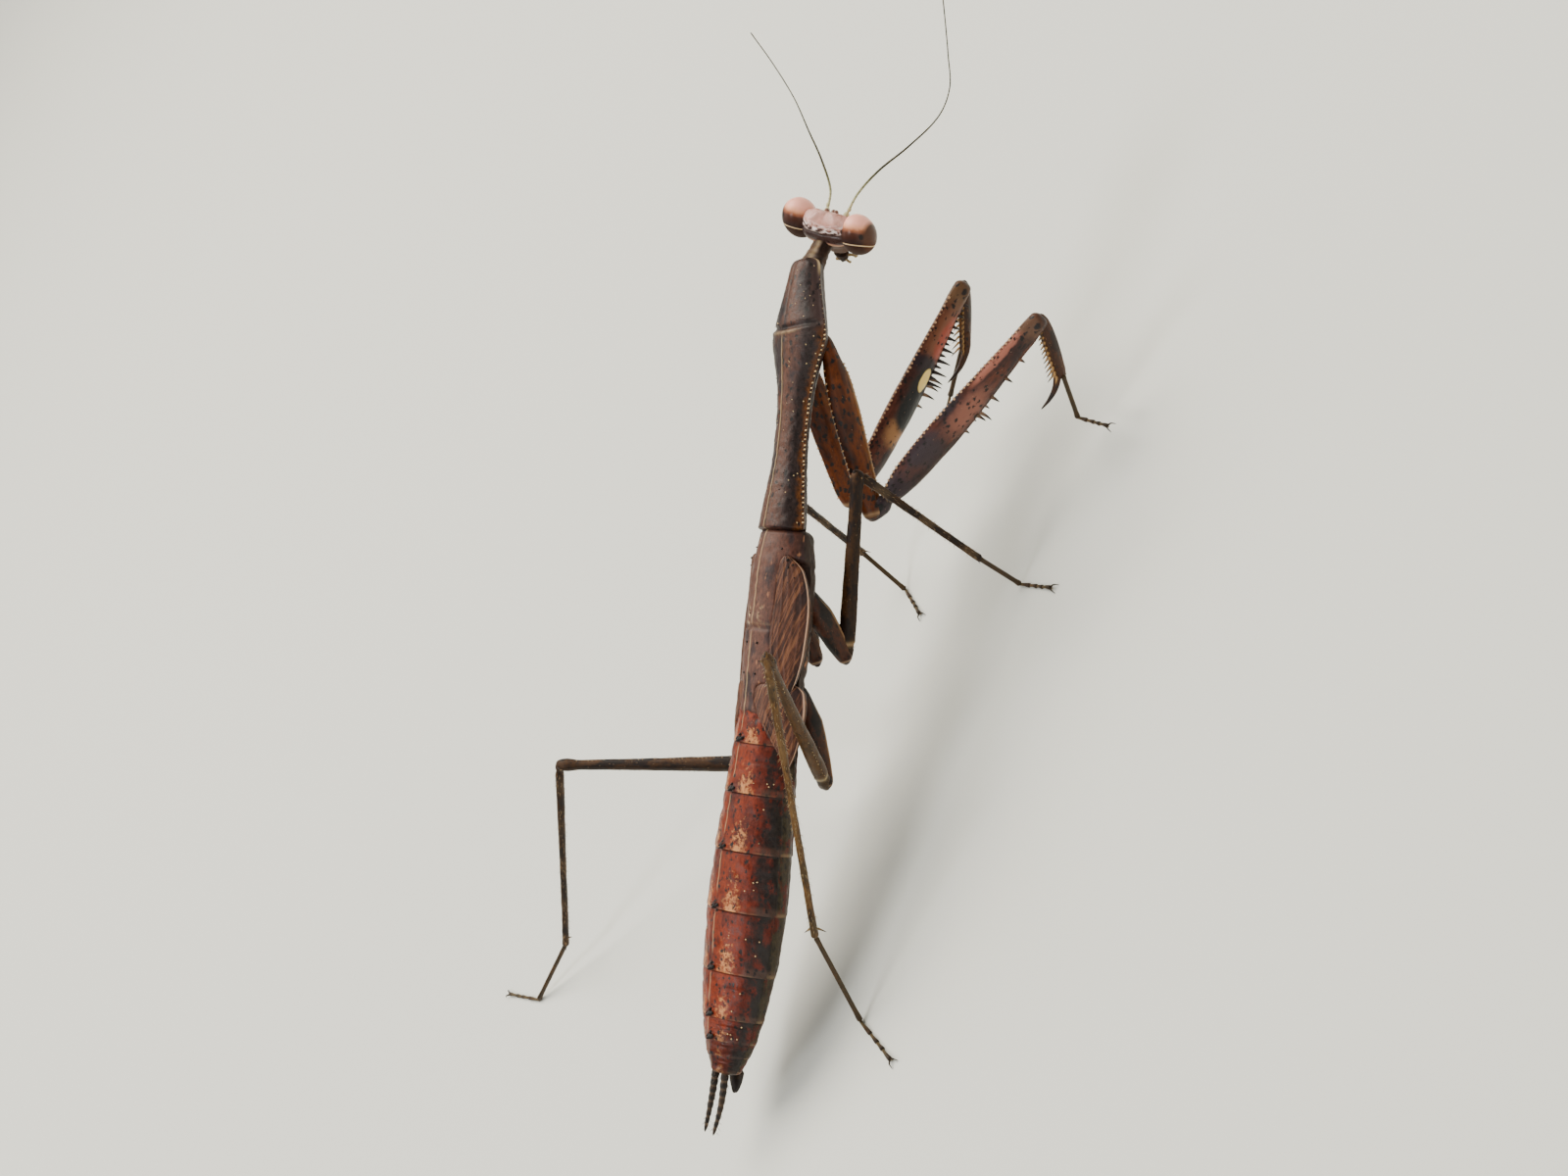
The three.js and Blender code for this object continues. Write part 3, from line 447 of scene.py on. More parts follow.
def shield_point(ring, angle):
    angle = near_keel(angle)
    along, full = shield_rows[ring]
    full = full ** 1.1 if along < -16 else full
    x, z = section(SHIELD_OUTLINE, along, angle, SHIELD_ROOF)
    upper = math.cos(angle) > 0
    steep = abs(angle)
    if not upper:
        x *= 1 - 0.12 * smooth(1.6, 1.9, steep)
    edge = hump(steep, 1.52, 0.1)
    groove = hump(along, groove_at(angle), 0.13) * smooth(1.5, 1.1, steep)
    crest = hump(along, groove_at(angle) + 0.24, 0.12) * smooth(1.3, 0.9, steep)
    keel = hump(x, 0, 0.06) * smooth(GROOVE + 0.3, GROOVE + 0.7, along)
    furrow = hump(x, 0, 0.12) * smooth(GROOVE - 0.2, GROOVE - 0.8, along)
    furrow *= smooth(-17.3, -16.9, along)
    collar = hump(along, SHIELD_FRONT + 0.28, 0.09)
    side_dent = hump(steep, 1.15, 0.25) * smooth(-13.2, -12.2, along)
    calm = 0.4 + 0.6 * smooth(GROOVE, GROOVE + 1.5, along)
    grit = 0.03 * calm * rough_at(2.6, x, along, z) + 0.01 * rough_at(7, x, along, z)
    lift = -0.13 * groove + 0.05 * crest + 0.06 * keel - 0.04 * furrow + 0.05 * collar
    lift += grit - 0.05 * side_dent
    return pushed(x, along - SHIELD_REAR, z, full, lift if upper else grit, 0.1 * edge)


def shield_marks(ring, angle):
    angle = near_keel(angle)
    along = shield_rows[ring][0]
    if math.cos(angle) < 0:
        return NOTHING
    x = eased(SHIELD_OUTLINE, along)[0] * math.sin(angle)
    keel = hump(x, 0, 0.045) * smooth(GROOVE + 0.35, GROOVE + 0.8, along)
    crest = hump(along, groove_at(angle) + 0.26, 0.09) * smooth(0.75, 0.35, abs(angle))
    crest *= 0.55 + 0.45 * rough_at(1, x * 6, along * 6, 1)
    collar = smooth(SHIELD_FRONT + 1.3, SHIELD_FRONT + 0.5, along) * hump(abs(angle), 1.5, 0.09)
    # The dark line in the groove is a painted shadow.
    groove = hump(along, groove_at(angle) - 0.02, 0.1) * smooth(1.5, 1.2, abs(angle))
    return (min(1, 0.4 * keel + 0.3 * crest + 0.5 * collar), 0.7 * groove, 0)


skin(pronotum, SHIELD_SIDES, SHIELD_RINGS, shield_point, shield_marks)
chance = random.Random(5)
TEETH, TOOTH_EVERY = 48, 0.275
for side in (-1, 1):
    for i in range(TEETH):
        along = SHIELD_FRONT + 1.35 + TOOTH_EVERY * i + chance.uniform(-0.05, 0.05)
        width = eased(SHIELD_OUTLINE, along)[0]
        root = Vector((side * (width + 0.06), along - SHIELD_REAR, 0.06))
        big = 0.5 + 0.5 * smooth(GROOVE - 1, GROOVE + 0.5, along)
        spike(pronotum, root, (side, -0.15, 0.12), chance.uniform(0.08, 0.14) * big,
              chance.uniform(0.045, 0.065) * big, sides=8, marks=(0.35 + 0.35 * big, 0, 0))
        between = root + Vector((side * 0.01, TOOTH_EVERY / 2, 0.05))
        spike(pronotum, between, (side, 0, 0.6), 0.035, 0.055, sides=6, marks=BLACK)
# Small grains on the slopes, some pale and some dark.
for i in range(150):
    along = chance.uniform(-17.0, -3.2)
    angle = chance.choice((-1, 1)) * chance.uniform(0.25, 1.4)
    x, z = section(SHIELD_OUTLINE, along, angle, SHIELD_ROOF)
    pale = chance.random() < 0.4
    spike(pronotum, (x, along - SHIELD_REAR, z), (x, 0, z), 0.03, 0.045, steps=4, sides=6,
          marks=(0.7, 0, 0) if pale else (0, 0.8, 0))
settle(pronotum, "pronotum_shield", SHIELD, shield_chitin, "pronotum",
       "pronotum_front", "pronotum_rear")

# ---- Thorax behind the shield -------------------------------------------------------------------
# Two plates of chitin fused over the flight muscles, soft and dull in a nymph, with the beds of
# the wing pads pressed into their sides. The middle and hind legs hang from below.
TRUNK_OUTLINE = [
    (-2.85, 1.72, 1.25, 1.15), (-1.2, 2.0, 1.5, 1.45), (1.0, 2.15, 1.52, 1.6),
    (3.5, 2.15, 1.5, 1.65), (6.5, 1.95, 1.42, 1.6), (8.3, 2.1, 1.5, 1.62),
    (10.9, 2.36, 1.66, 1.72), (13.9, 2.62, 1.82, 1.8), (17.0, 2.75, 1.85, 1.8),
    (20.2, 2.58, 1.66, 1.62), (22.6, 2.15, 1.42, 1.38), (23.8, 1.82, 1.22, 1.18),
    (24.6, 1.48, 1.02, 0.98), (25.4, 1.05, 0.76, 0.74),
]
MESO_REAR, META_REAR = 2.3, 6.5
THORAX_ROOF = 1.2
THORAX_SIDES, THORAX_RINGS = 112, 140
# How the pads lie: each row gives a place along the trunk, and how far the pad's inner and outer
# edges lie down a slope from the ridge of the back.
RIDGE, SLOPE = 1.62, math.radians(42)
FORE_PAD = [(-1.5, 1.3, 1.9), (-0.8, 1.25, 2.6), (0.9, 1.2, 3.1), (3.3, 1.2, 3.1),
            (4.6, 1.7, 2.9), (5.6, 2.3, 2.6)]
HIND_PAD = [(5.1, 0.6, 3.3), (6.2, 0.6, 3.5), (7.3, 1.3, 3.45), (8.4, 2.1, 3.25), (9.2, 2.7, 3.0)]
PAD_BED = -0.3  # how far the slope is pressed in under a pad


def on_slope(side, run, y, lift):
    """A place on the sloping side of the back."""
    return Vector((side * (math.cos(SLOPE) * run + math.sin(SLOPE) * lift), y,
                   RIDGE - math.sin(SLOPE) * run + math.cos(SLOPE) * lift))


def under_pads(point):
    """Presses a place on the trunk down to clear the undersides of the wing pads."""
    side = math.copysign(1, point.x)
    x, z = abs(point.x), point.z - RIDGE
    run = math.cos(SLOPE) * x - math.sin(SLOPE) * z
    lift = math.sin(SLOPE) * x + math.cos(SLOPE) * z
    for pad in (FORE_PAD, HIND_PAD):
        front, rear = pad[0][0], pad[-1][0]
        inner = eased(pad, point.y)[0]
        within = smooth(inner + 0.03, inner + 0.35, run) * smooth(front, front + 0.4, point.y)
        within *= smooth(rear + 0.2, rear - 0.3, point.y)
        if lift > PAD_BED:
            lift = blend(lift, PAD_BED, within)
    return on_slope(side, run, point.y, lift)


def thorax_plate_patterns(tree, place, lie, colour):
    """A few ochre dashes and plum-dark spots beside the keel."""
    at = add(tree, "Mapping", {"Vector": place, "Scale": (1.6, 0.5, 1.6)})
    dash = add(tree, "TexNoise", {"Vector": at, "Scale": 2.2, "Detail": 3.0})
    colour = stain(tree, colour, dash, "#9c6a4c", 0.63, 0.72, 0.8)
    return stain(tree, colour, dash, "#33211f", 0.36, 0.28, 0.6)


# Softer chitin: matt pinkish brown above with ochre dashes, dull dark brown on the flanks.
thorax_chitin = cuticle(
    "soft_chitin_thorax",
    girth=[(0.0, "#a37565"), (0.5, "#946557"), (1.0, "#805144"), (1.5, "#563e37"),
           (2.2, "#5d4739"), (3.0, "#7a614a")],
    patches=(1.1, 0.4, 0.38, "#5d4443"), streak=8.0, spots=(2.0, 0.22, 0.6), rough=0.5,
    depth=0.52, pattern=thorax_plate_patterns)

thorax = form()
thorax_rows = stations(SHIELD_REAR - 0.25, META_REAR + 0.6, THORAX_RINGS, 0.4, 0.5)


def thorax_point(ring, angle):
    along, full = thorax_rows[ring]
    x, z = section(TRUNK_OUTLINE, along, angle, THORAX_ROOF)
    steep = abs(angle)
    seam = hump(along, MESO_REAR, 0.14)
    keel = hump(x, 0, 0.07) * (1 - seam)
    brow = hump(along, MESO_REAR - 0.5, 0.3) * hump(x, 0, 0.7)
    hollow = hump(along, MESO_REAR + 0.8, 0.5) * hump(abs(x), 0.5, 0.35)
    scutum = hump(along, -0.2, 0.9) * hump(abs(x), 0.75, 0.3)
    flank = hump(steep, 1.95, 0.16) * 0.5
    flank += hump(along % 1.9, 0.95, 0.16) * smooth(1.6, 2.0, steep) * 0.35
    grit = 0.04 * rough_at(2.2, x, along, z) + 0.014 * rough_at(7, x, along, z)
    lift = 0.07 * keel - 0.07 * seam + 0.06 * brow - 0.04 * hollow + 0.05 * scutum
    return under_pads(pushed(x, along, z, full, lift - 0.12 * flank + grit))


def thorax_marks(ring, angle):
    along = thorax_rows[ring][0]
    if math.cos(angle) < 0:
        return NOTHING
    x = eased(TRUNK_OUTLINE, along)[0] * math.sin(angle)
    keel = hump(x, 0, 0.045) * (1 - hump(along, MESO_REAR, 0.3))
    seam = hump(along, MESO_REAR, 0.1)
    rim = hump(along, MESO_REAR - 0.22, 0.07) * smooth(1.2, 0.8, abs(angle))
    blot = hump(along, MESO_REAR - 0.6, 0.5) * hump(abs(x), 0.62, 0.12)
    grains = smooth(0.0, 0.3, rough_at(1, x * 5, along * 5, 3))
    return (min(1, 0.35 * keel + 0.05 * rim + 0.75 * blot * grains), 0.25 * seam, 0)


skin(thorax, THORAX_SIDES, THORAX_RINGS, thorax_point, thorax_marks)
# A few black warts: place along the trunk, how far to the side, and size.
THORAX_WARTS = ((-1.9, 1.15, 0.08), (1.6, 0.4, 0.07), (3.1, 0.45, 0.08), (4.7, 0.5, 0.08))
for side in (-1, 1):
    for along, aside, size in THORAX_WARTS:
        width = eased(TRUNK_OUTLINE, along)[0]
        angle = math.asin((aside / width) ** (1 / THORAX_ROOF))
        x, z = section(TRUNK_OUTLINE, along, angle, THORAX_ROOF)
        root = under_pads(Vector((x, along, z)))
        spike(thorax, (side * root.x, root.y, root.z), (side * x, 0, z), size * 1.1, size,
              sides=9, marks=BLACK)
settle(thorax, "pterothorax", TRUNK, thorax_chitin, "thorax", "mesothorax", "metathorax")


# ---- Wing pads ----------------------------------------------------------------------------------
# Four flat sacs of thin cuticle that hold the growing wings. Each is moulded in one with its plate
# and lies back along it, with the veins raised and a pale rib along its outer edge.
def pad_patterns(tree, place, lie, colour):
    """Fine ochre and dark lines that run back and out, along the folded wing's veins."""
    spot = add(tree, "SeparateXYZ", {0: place})
    outward = add(tree, "Math", {0: spot}, operation="ABSOLUTE")
    across = add(tree, "Math", {0: spot.outputs[1], 1: 0.24, 2: outward}, operation="MULTIPLY_ADD")
    at = add(tree, "CombineXYZ", {0: across, 1: spot.outputs[1]})
    at = add(tree, "Mapping", {"Vector": at, "Scale": (6.0, 0.3, 1.0)})
    line = add(tree, "TexNoise", {"Vector": at, "Scale": 1.4, "Detail": 2.0, "Roughness": 0.6})
    colour = stain(tree, colour, line, "#8a5a3c", 0.5, 0.62, 0.55)
    return stain(tree, colour, line, "#2e1f1b", 0.47, 0.38, 0.6)


# Thin wing-pad cuticle: matt reddish brown with fine ochre lines and cream along its ribs.
pad_cuticle = cuticle(
    "thin_pad_cuticle",
    girth=[(0.0, "#8f5f4e"), (3.0, "#7d5040")],
    patches=(1.0, 0.35, 0.35, "#573c38"), streak=10.0, spots=(3.4, 0.16, 0.8), rough=0.5,
    depth=0.5, pale="#edbf9f", pattern=pad_patterns)

PAD_RINGS = 96
PAD_EDGE = 0.8  # less is a squarer edge
HALF_PAD = 0.2  # of its thickness
# Black warts on the shoulder of each forewing pad: how far back, how far across, and size.
PAD_WARTS = ((0.07, 0.5, 0.13), (0.1, 0.68, 0.1), (0.12, 0.42, 0.09), (0.19, 0.6, 0.06))
RIGHT_AND_LEFT = (("right", -1), ("left", 1))

for pads, kind, top in ((FORE_PAD, "forewing", 0.02), (HIND_PAD, "hindwing", -0.02)):
    for word, side in RIGHT_AND_LEFT:
        pad_rows = stations(pads[0][0] - 0.1, pads[-1][0] + 0.25, PAD_RINGS, 0.5, 0.7, 10)

        def pad_across(angle):
            """How far across the pad a point is, from 0 at its inner edge to 1 at its outer."""
            return 0.5 + 0.5 * math.copysign(abs(math.sin(angle)) ** PAD_EDGE, angle)

        def pad_point(ring, angle):
            along, full = pad_rows[ring]
            u, v = pad_across(angle), ring / PAD_RINGS
            inner, outer = eased(pads, along)
            middle = blend(inner, outer, 0.6)
            run = blend(blend(middle, inner, full), blend(middle, outer, full), u)
            # The upper side is level with the plate by the inner edge, and rounded by the outer.
            flat = abs(math.cos(angle)) ** 0.4
            rounding = 0.2 * smooth(0.3, 0.8, u)
            if math.cos(angle) > 0:
                thick = HALF_PAD - rounding * (1 - flat)
            else:
                thick = HALF_PAD - rounding - (2 * HALF_PAD - rounding) * flat
            # The pad carries on the slope of the back, and stands a little proud of it.
            crown = 0.47 * smooth(0.2, 1.5, run) - 0.2 + 0.07 * (1 - abs(2 * u - 1) ** 2.5)
            fan = 5.2 * u - 0.7 * v * (1 - u)
            vein = max(0.0, math.cos(fan * 2 * math.pi)) ** 6
            vein *= smooth(0.0, 0.08, u) * smooth(1.0, 0.95, u)
            cross = max(0.0, math.cos(v * 60 + math.floor(fan) * 1.7)) ** 14
            rib = hump(u, 0.968, 0.024)
            fold = 0.03 * rough_at(1, u * 3, v * 5, side + len(kind))
            lift = top + crown + 0.035 * vein + 0.01 * cross + 0.05 * rib + fold + thick * full
            return on_slope(side, run, along, lift)

        def pad_marks(ring, angle):
            if math.cos(angle) < 0:
                return NOTHING
            u = pad_across(angle)
            rib = hump(u, 0.97, 0.012) * smooth(0.02, 0.1, ring / PAD_RINGS)
            return (0.9 * rib, 0.5 * hump(u, 0.915, 0.03), 0)

        pad = form()
        skin(pad, 96, PAD_RINGS, pad_point, pad_marks)
        for v, u, size in PAD_WARTS if kind == "forewing" else ():
            angle = math.asin(math.copysign(abs(2 * u - 1) ** (1 / PAD_EDGE), 2 * u - 1))
            up = (side * math.sin(SLOPE), 0, math.cos(SLOPE))
            spike(pad, pad_point(round(v * PAD_RINGS), angle), up, size, size, sides=9, marks=BLACK)
        settle(pad, f"{kind}_pad_{word}", TRUNK, pad_cuticle, "wing_pad", f"{word}_{kind}_pad")

# ---- Abdomen ------------------------------------------------------------------------------------
# Nine overlapping hoops of chitin joined by folded membrane: each has a lip over the next, a black
# wart on the midline at its hind edge and a flat lobe at each side.
HOOP_REARS = [8.3, 10.9, 13.9, 17.0, 20.2, 22.6, 23.8, 24.6, 25.4]
HOOP_ROOF = 1.25
HOOP_RINGS = 30
FULL_HOOPS = 7  # the last two are small, without warts


def hoop_patterns(tree, place, lie, colour):
    """Cream flecks beside the midline, denser towards the hind edge, which is greyer low on the
    side. lie gives the angle from the top and the share of the hoop."""
    waver = add(tree, "TexNoise", {"Vector": place, "Scale": 3.2, "Detail": 5.0, "Roughness": 0.7})
    angle = add(tree, "Math", {0: lie}, operation="ABSOLUTE")
    shift = add(tree, "Math", {0: waver, 1: 0.6, 2: -0.3}, operation="MULTIPLY_ADD")
    around = add(tree, "Math", {0: angle, 1: shift}, operation="ADD")
    near = add(tree, "ValToRGB", {0: around}, stops=[
        (0.26, "#000000"), (0.4, "#ffffff"), (0.5, "#ffffff"), (0.68, "#000000")])
    flecks = add(tree, "TexNoise", {"Vector": place, "Scale": 4.2, "Detail": 5.0, "Roughness": 0.7})
    rear = add(tree, "MapRange", {0: lie.outputs[1], 1: 0.1, 2: 0.95, 3: -0.16, 4: 0.16})
    amount = add(tree, "Math", {0: flecks, 1: rear}, operation="ADD")
    cover = add(tree, "MapRange", {0: amount, 1: 0.54, 2: 0.66})
    cream = add(tree, "Math", {0: cover, 1: near}, operation="MULTIPLY")
    colour = stain(tree, colour, cream, "#b87a48")
    edge = add(tree, "MapRange", {0: lie.outputs[1], 1: 0.84, 2: 0.9, 4: 0.3})
    low = add(tree, "MapRange", {0: around, 1: 0.7, 2: 0.9})
    edge = add(tree, "Math", {0: edge, 1: low}, operation="MULTIPLY")
    return stain(tree, colour, edge, "#5f4438")


# Brick-red chitin: satin, with black pits, cream flecks by the midline and near-black flanks.
hoop_chitin = cuticle(
    "brick_red_chitin",
    girth=[(0.0, "#ac4e36"), (0.35, "#bc563c"), (0.7, "#a84833"), (0.88, "#873a2b"),
           (1.02, "#4a2e28"), (1.2, "#362a26"), (1.55, "#33291f"), (1.66, "#5d5038"),
           (1.9, "#5d4c36"), (3.0, "#6f573f")],
    patches=(1.1, 0.6, 0.42, "#843a2c"), streak=7.0, spots=(3.5, 0.36, 0.1), rough=0.4,
    depth=0.6, pattern=hoop_patterns)

abdomen = form()
# For each ring: its place, how full it is, its share of its hoop, and which hoop.
hoops = [(META_REAR - 0.3, 0.0, 0.0, 0)]
for index, rear in enumerate(HOOP_REARS):
    front = HOOP_REARS[index - 1] if index else META_REAR - 0.25
    for i in range(HOOP_RINGS + 1):
        share = math.sin(i / HOOP_RINGS * math.pi / 2)
        hoops.append((blend(front, rear, share) + 0.02 * (share - 1), 1.0, share, index))
END_RINGS = 6
for i in range(1, END_RINGS + 1):
    quarter = i / END_RINGS * math.pi / 2
    hoops.append((HOOP_REARS[-1] + 0.25 * math.sin(quarter), math.cos(quarter), 1.0, 8))


def hoop_point(ring, angle):
    along, full, share, index = hoops[ring]
    x, z = section(TRUNK_OUTLINE, along, angle, HOOP_ROOF)
    steep = abs(angle)
    whole = index < FULL_HOOPS
    lap = 0.02 * smooth(0.75, 1.0, share) - 0.03 * smooth(0.12, 0.0, share)
    keel = 0.05 * hump(x, 0, 0.05) * smooth(0.0, 0.1, share)
    wart = 0.12 * hump(x, 0, 0.14) * hump(share, 0.93, 0.06) if whole else 0
    x += 0.14 * smooth(18, 23, along)
    ledge = -0.07 * hump(steep, 1.6, 0.04)
    lobe = 0.17 * hump(steep, 1.75, 0.3) * smooth(0.0, 1.0, share) * (1 if whole else 0.3)
    belly = -0.08 * hump(steep, 2.2, 0.09)
    dent = -0.05 * hump(share, 0.35, 0.06) * smooth(0.35, 0.6, steep) * smooth(1.3, 1.1, steep)
    grit = 0.045 * rough_at(2, x, along, z) + 0.016 * rough_at(6.5, x, along, z)
    point = pushed(x, along, z, full, lap + keel + wart + ledge + belly + dent + grit, lobe)
    return under_pads(point) if along < 9.8 else point


def hoop_marks(ring, angle):
    along, full, share, index = hoops[ring]
    steep = abs(angle)
    if math.cos(angle) < 0:
        lobe_edge = hump(share, 0.97, 0.03) * hump(steep, 1.75, 0.2)
        return (0.15 * lobe_edge, 0.7 * hump(steep, 2.2, 0.06), 0)
    x = eased(TRUNK_OUTLINE, along)[0] * math.sin(angle)
    keel = hump(x, 0, 0.04) * smooth(0.78, 0.6, share) * smooth(0.02, 0.12, share)
    lip = smooth(0.965, 0.985, share) * smooth(1.35, 1.0, steep)
    lip *= 0.3 + rough_at(1, x * 3, index, 0)
    wart = hump(x, 0, 0.24) * smooth(0.78, 0.9, share) * (1 if index < 8 else 0)
    fold = max(smooth(0.05, 0.0, share), 0.6 * smooth(22.9, 24.2, along))
    ledge = 0.7 * hump(steep, 1.6, 0.03)
    dark = min(1, 0.95 * wart + 0.85 * fold + ledge)
    return (min(1.0, max(0.0, 0.4 * keel + 0.12 * lip)), dark, 0)


skin(abdomen, 144, len(hoops) - 1, hoop_point, hoop_marks, lambda ring: hoops[ring][2:])
# The knobs of each wart: how far to the side, how far in front of the hind edge, and size.
KNOBS = ((0, 0.12, 0.19), (-0.17, 0.18, 0.12), (0.17, 0.18, 0.12), (0, 0.38, 0.09))
for index, rear in enumerate(HOOP_REARS[:FULL_HOOPS]):
    height = eased(TRUNK_OUTLINE, rear - 0.2)[1]
    for x, ahead, size in KNOBS:
        spike(abdomen, (x, rear - ahead, height + 0.06), (0, 0.5, 1), size * 1.3, size, sides=8,
              marks=BLACK)
    # Pale grains on the sides of each hoop.
    front = HOOP_REARS[index - 1] if index else META_REAR
    for i in range(8):
        side = chance.choice((-1, 1))
        angle = chance.uniform(0.45, 1.2)
        along = rear - chance.uniform(0.15, 0.85) * min(3.0, rear - front)
        x, z = section(TRUNK_OUTLINE, along, angle, HOOP_ROOF)
        if along > 9.6:
            spike(abdomen, (side * x, along, z), (side * x, 0, z), 0.035, 0.05, steps=4,
                  marks=(chance.uniform(0.5, 0.9), 0, 0))
settle(abdomen, "abdomen_hoops", TRUNK, hoop_chitin, "abdomen",
       *(f"abdomen_{i + 1}" for i in range(len(HOOP_REARS))))

# ---- Tip of the abdomen -------------------------------------------------------------------------
# Two jointed feelers at the tail, each a string of short hard beads with hairs, and the pointed
# plate under them.

# Dark chitin of the tail: dull brown-black, lighter at each joint.
tail_chitin = cuticle(
    "dark_tail_chitin",
    girth=[(0.0, "#3f322b"), (3.0, "#2b231f")],
    patches=(2.5, 0.6, 0.4, "#5b4636"), streak=9.0, spots=(5.0, 0.1, 0.7), pale="#9c7d5c",
    rough=0.5)
TAIL = HOOP_REARS[-1] + 0.13
BEADS = 9
POINTS_TO_A_BEAD = 8


def bead(t, count):
    """How far out a string of beads stands: 0 at the joints and 1 in the middle of each bead."""
    return abs(math.sin(t * math.pi * count))


def closing(t, rate):
    """1, and rounding off to 0 at the far end."""
    return min(1.0, math.sqrt(max(0.0, 1 - t)) * rate)


def opening(t, rate):
    """0, and rounding off to 1 at a distance that is less for a higher rate."""
    return math.sin(min(1.0, t * rate) * math.pi / 2)


for word, side in RIGHT_AND_LEFT:
    cercus = form()
    line = curved([(side * 0.42 + 0.2, TAIL - 0.35, 0.25), (side * 0.48 + 0.1, TAIL + 1.65, 0.4),
                   (side * 0.4, TAIL + 3.25, 0.7)], BEADS * POINTS_TO_A_BEAD)
    horn(cercus, line,
         lambda t: (0.23 - 0.14 * t ** 1.4) * (0.86 + 0.14 * bead(t, BEADS)) * closing(t, 3.2),
         sides=18, marks=lambda t: (0.2 * (1 - bead(t, BEADS)) ** 2, 0, 0))
    for i in range(60):
        t = chance.uniform(0.08, 0.97)
        angle = chance.uniform(-math.pi, math.pi)
        out = Vector((math.sin(angle), 0, math.cos(angle)))
        spike(cercus, line[int(t * BEADS * POINTS_TO_A_BEAD)] + out * 0.12,
              out + Vector((0, 0.8, 0)), chance.uniform(0.12, 0.3), 0.014, steps=4, sides=4,
              marks=(0.4, 0, 0))
    settle(cercus, f"tail_feeler_{word}", TRUNK, tail_chitin, "cercus", f"{word}_cercus")

valve = form()
VALVE_RINGS = 30


def valve_point(ring, angle):
    t = ring / VALVE_RINGS
    full = opening(t, 4) * math.sqrt(max(0.0, 1 - t ** 4))
    x, z = rounded(angle, blend(0.66, 0.34, t), blend(0.34, 0.2, t), 1)
    split = 0.08 * hump(x, 0, 0.06) * smooth(0.45, 0.8, t)
    return Vector((x * full, TAIL - 0.3 + 1.45 * t, -0.58 - 0.08 * t + z * full + split))


skin(valve, 36, VALVE_RINGS, valve_point)
settle(valve, "subgenital_valves", TRUNK, tail_chitin, "abdomen", "subgenital_plate")

# ---- Head ---------------------------------------------------------------------------------------
# A three-cornered capsule of thin glossy chitin, turned on the neck, with an eye at each upper
# corner, three simple eyes between the feelers, and the mouth at the lower corner.
HEAD = (Matrix.Translation((TRUNK_X + 0.53, TRUNK_Y - 18.58, 17.34)) @ turned(4.4, "Z")
        @ turned(8.9, "X") @ turned(-31.8, "Y"))
CHIN, CROWN = -2.25, 1.08
# height, half width, reach forward, reach back
CAPSULE_OUTLINE = [
    (CHIN, 0.42, 0.34, 0.28), (-1.8, 0.68, 0.54, 0.46), (-1.1, 1.0, 0.72, 0.7),
    (-0.3, 1.4, 0.82, 0.98), (0.35, 1.5, 0.56, 0.86), (0.75, 1.35, 0.34, 0.76),
    (0.98, 1.0, 0.18, 0.56), (CROWN, 0.5, 0.08, 0.3),
]
CAPSULE_RINGS = 90


def face_patterns(tree, place, lie, colour):
    """The face below the brow is dark amber, up to a line level with the middle of the eyes, and
    a painted highlight lies along the tops of the wrinkles at the back of the crown."""
    height = add(tree, "SeparateXYZ", {0: place}).outputs[2]
    colour = stain(tree, colour, height, "#4e3222", -0.2, -0.6)
    return stain(tree, colour, known(tree, "marks").outputs[2], "#f6e6e0")


def under_face(tree, place):
    """The lower face is dull, where the crown and the band behind it shine."""
    height = add(tree, "SeparateXYZ", {0: place}).outputs[2]
    return add(tree, "MapRange", {0: height, 1: -0.15, 2: -0.4})


# Thin glossy chitin: pinkish cream on the crown, a painted shadow behind it with painted highlights
# along its wrinkles, and amber lower down the face.
capsule_chitin = cuticle(
    "glossy_head_chitin",
    girth=[(0.0, "#d9a294"), (1.2, "#e6b0a4"), (2.2, "#eebcb0"), (3.0, "#e0a89a")],
    patches=(1.2, 0.8, 0.3, "#c58a7a"), streak=4.0, spots=(3.5, 0.12, 0.9), pale="#b08a62",
    dark="#1c1413", rough=0.3, grain=0.003, coat=0.12, depth=1.25, vary=(0.42, 0.64),
    pattern=face_patterns, dull=under_face)


def capsule_height(ring):
    """The rings lie closer together towards the crown, which is nearly flat."""
    return blend(CHIN, CROWN, 1 - (1 - ring / CAPSULE_RINGS) ** 2)


def torn(x, height):
    """Uneven wrinkles that run along the back of the crown."""
    coarse = rough_at(1, x * 3.2 + height * 2.0, height * 7.0, 2.0)
    return coarse + 0.5 * rough_at(1, x * 8.0, height * 9.0, 7.0)


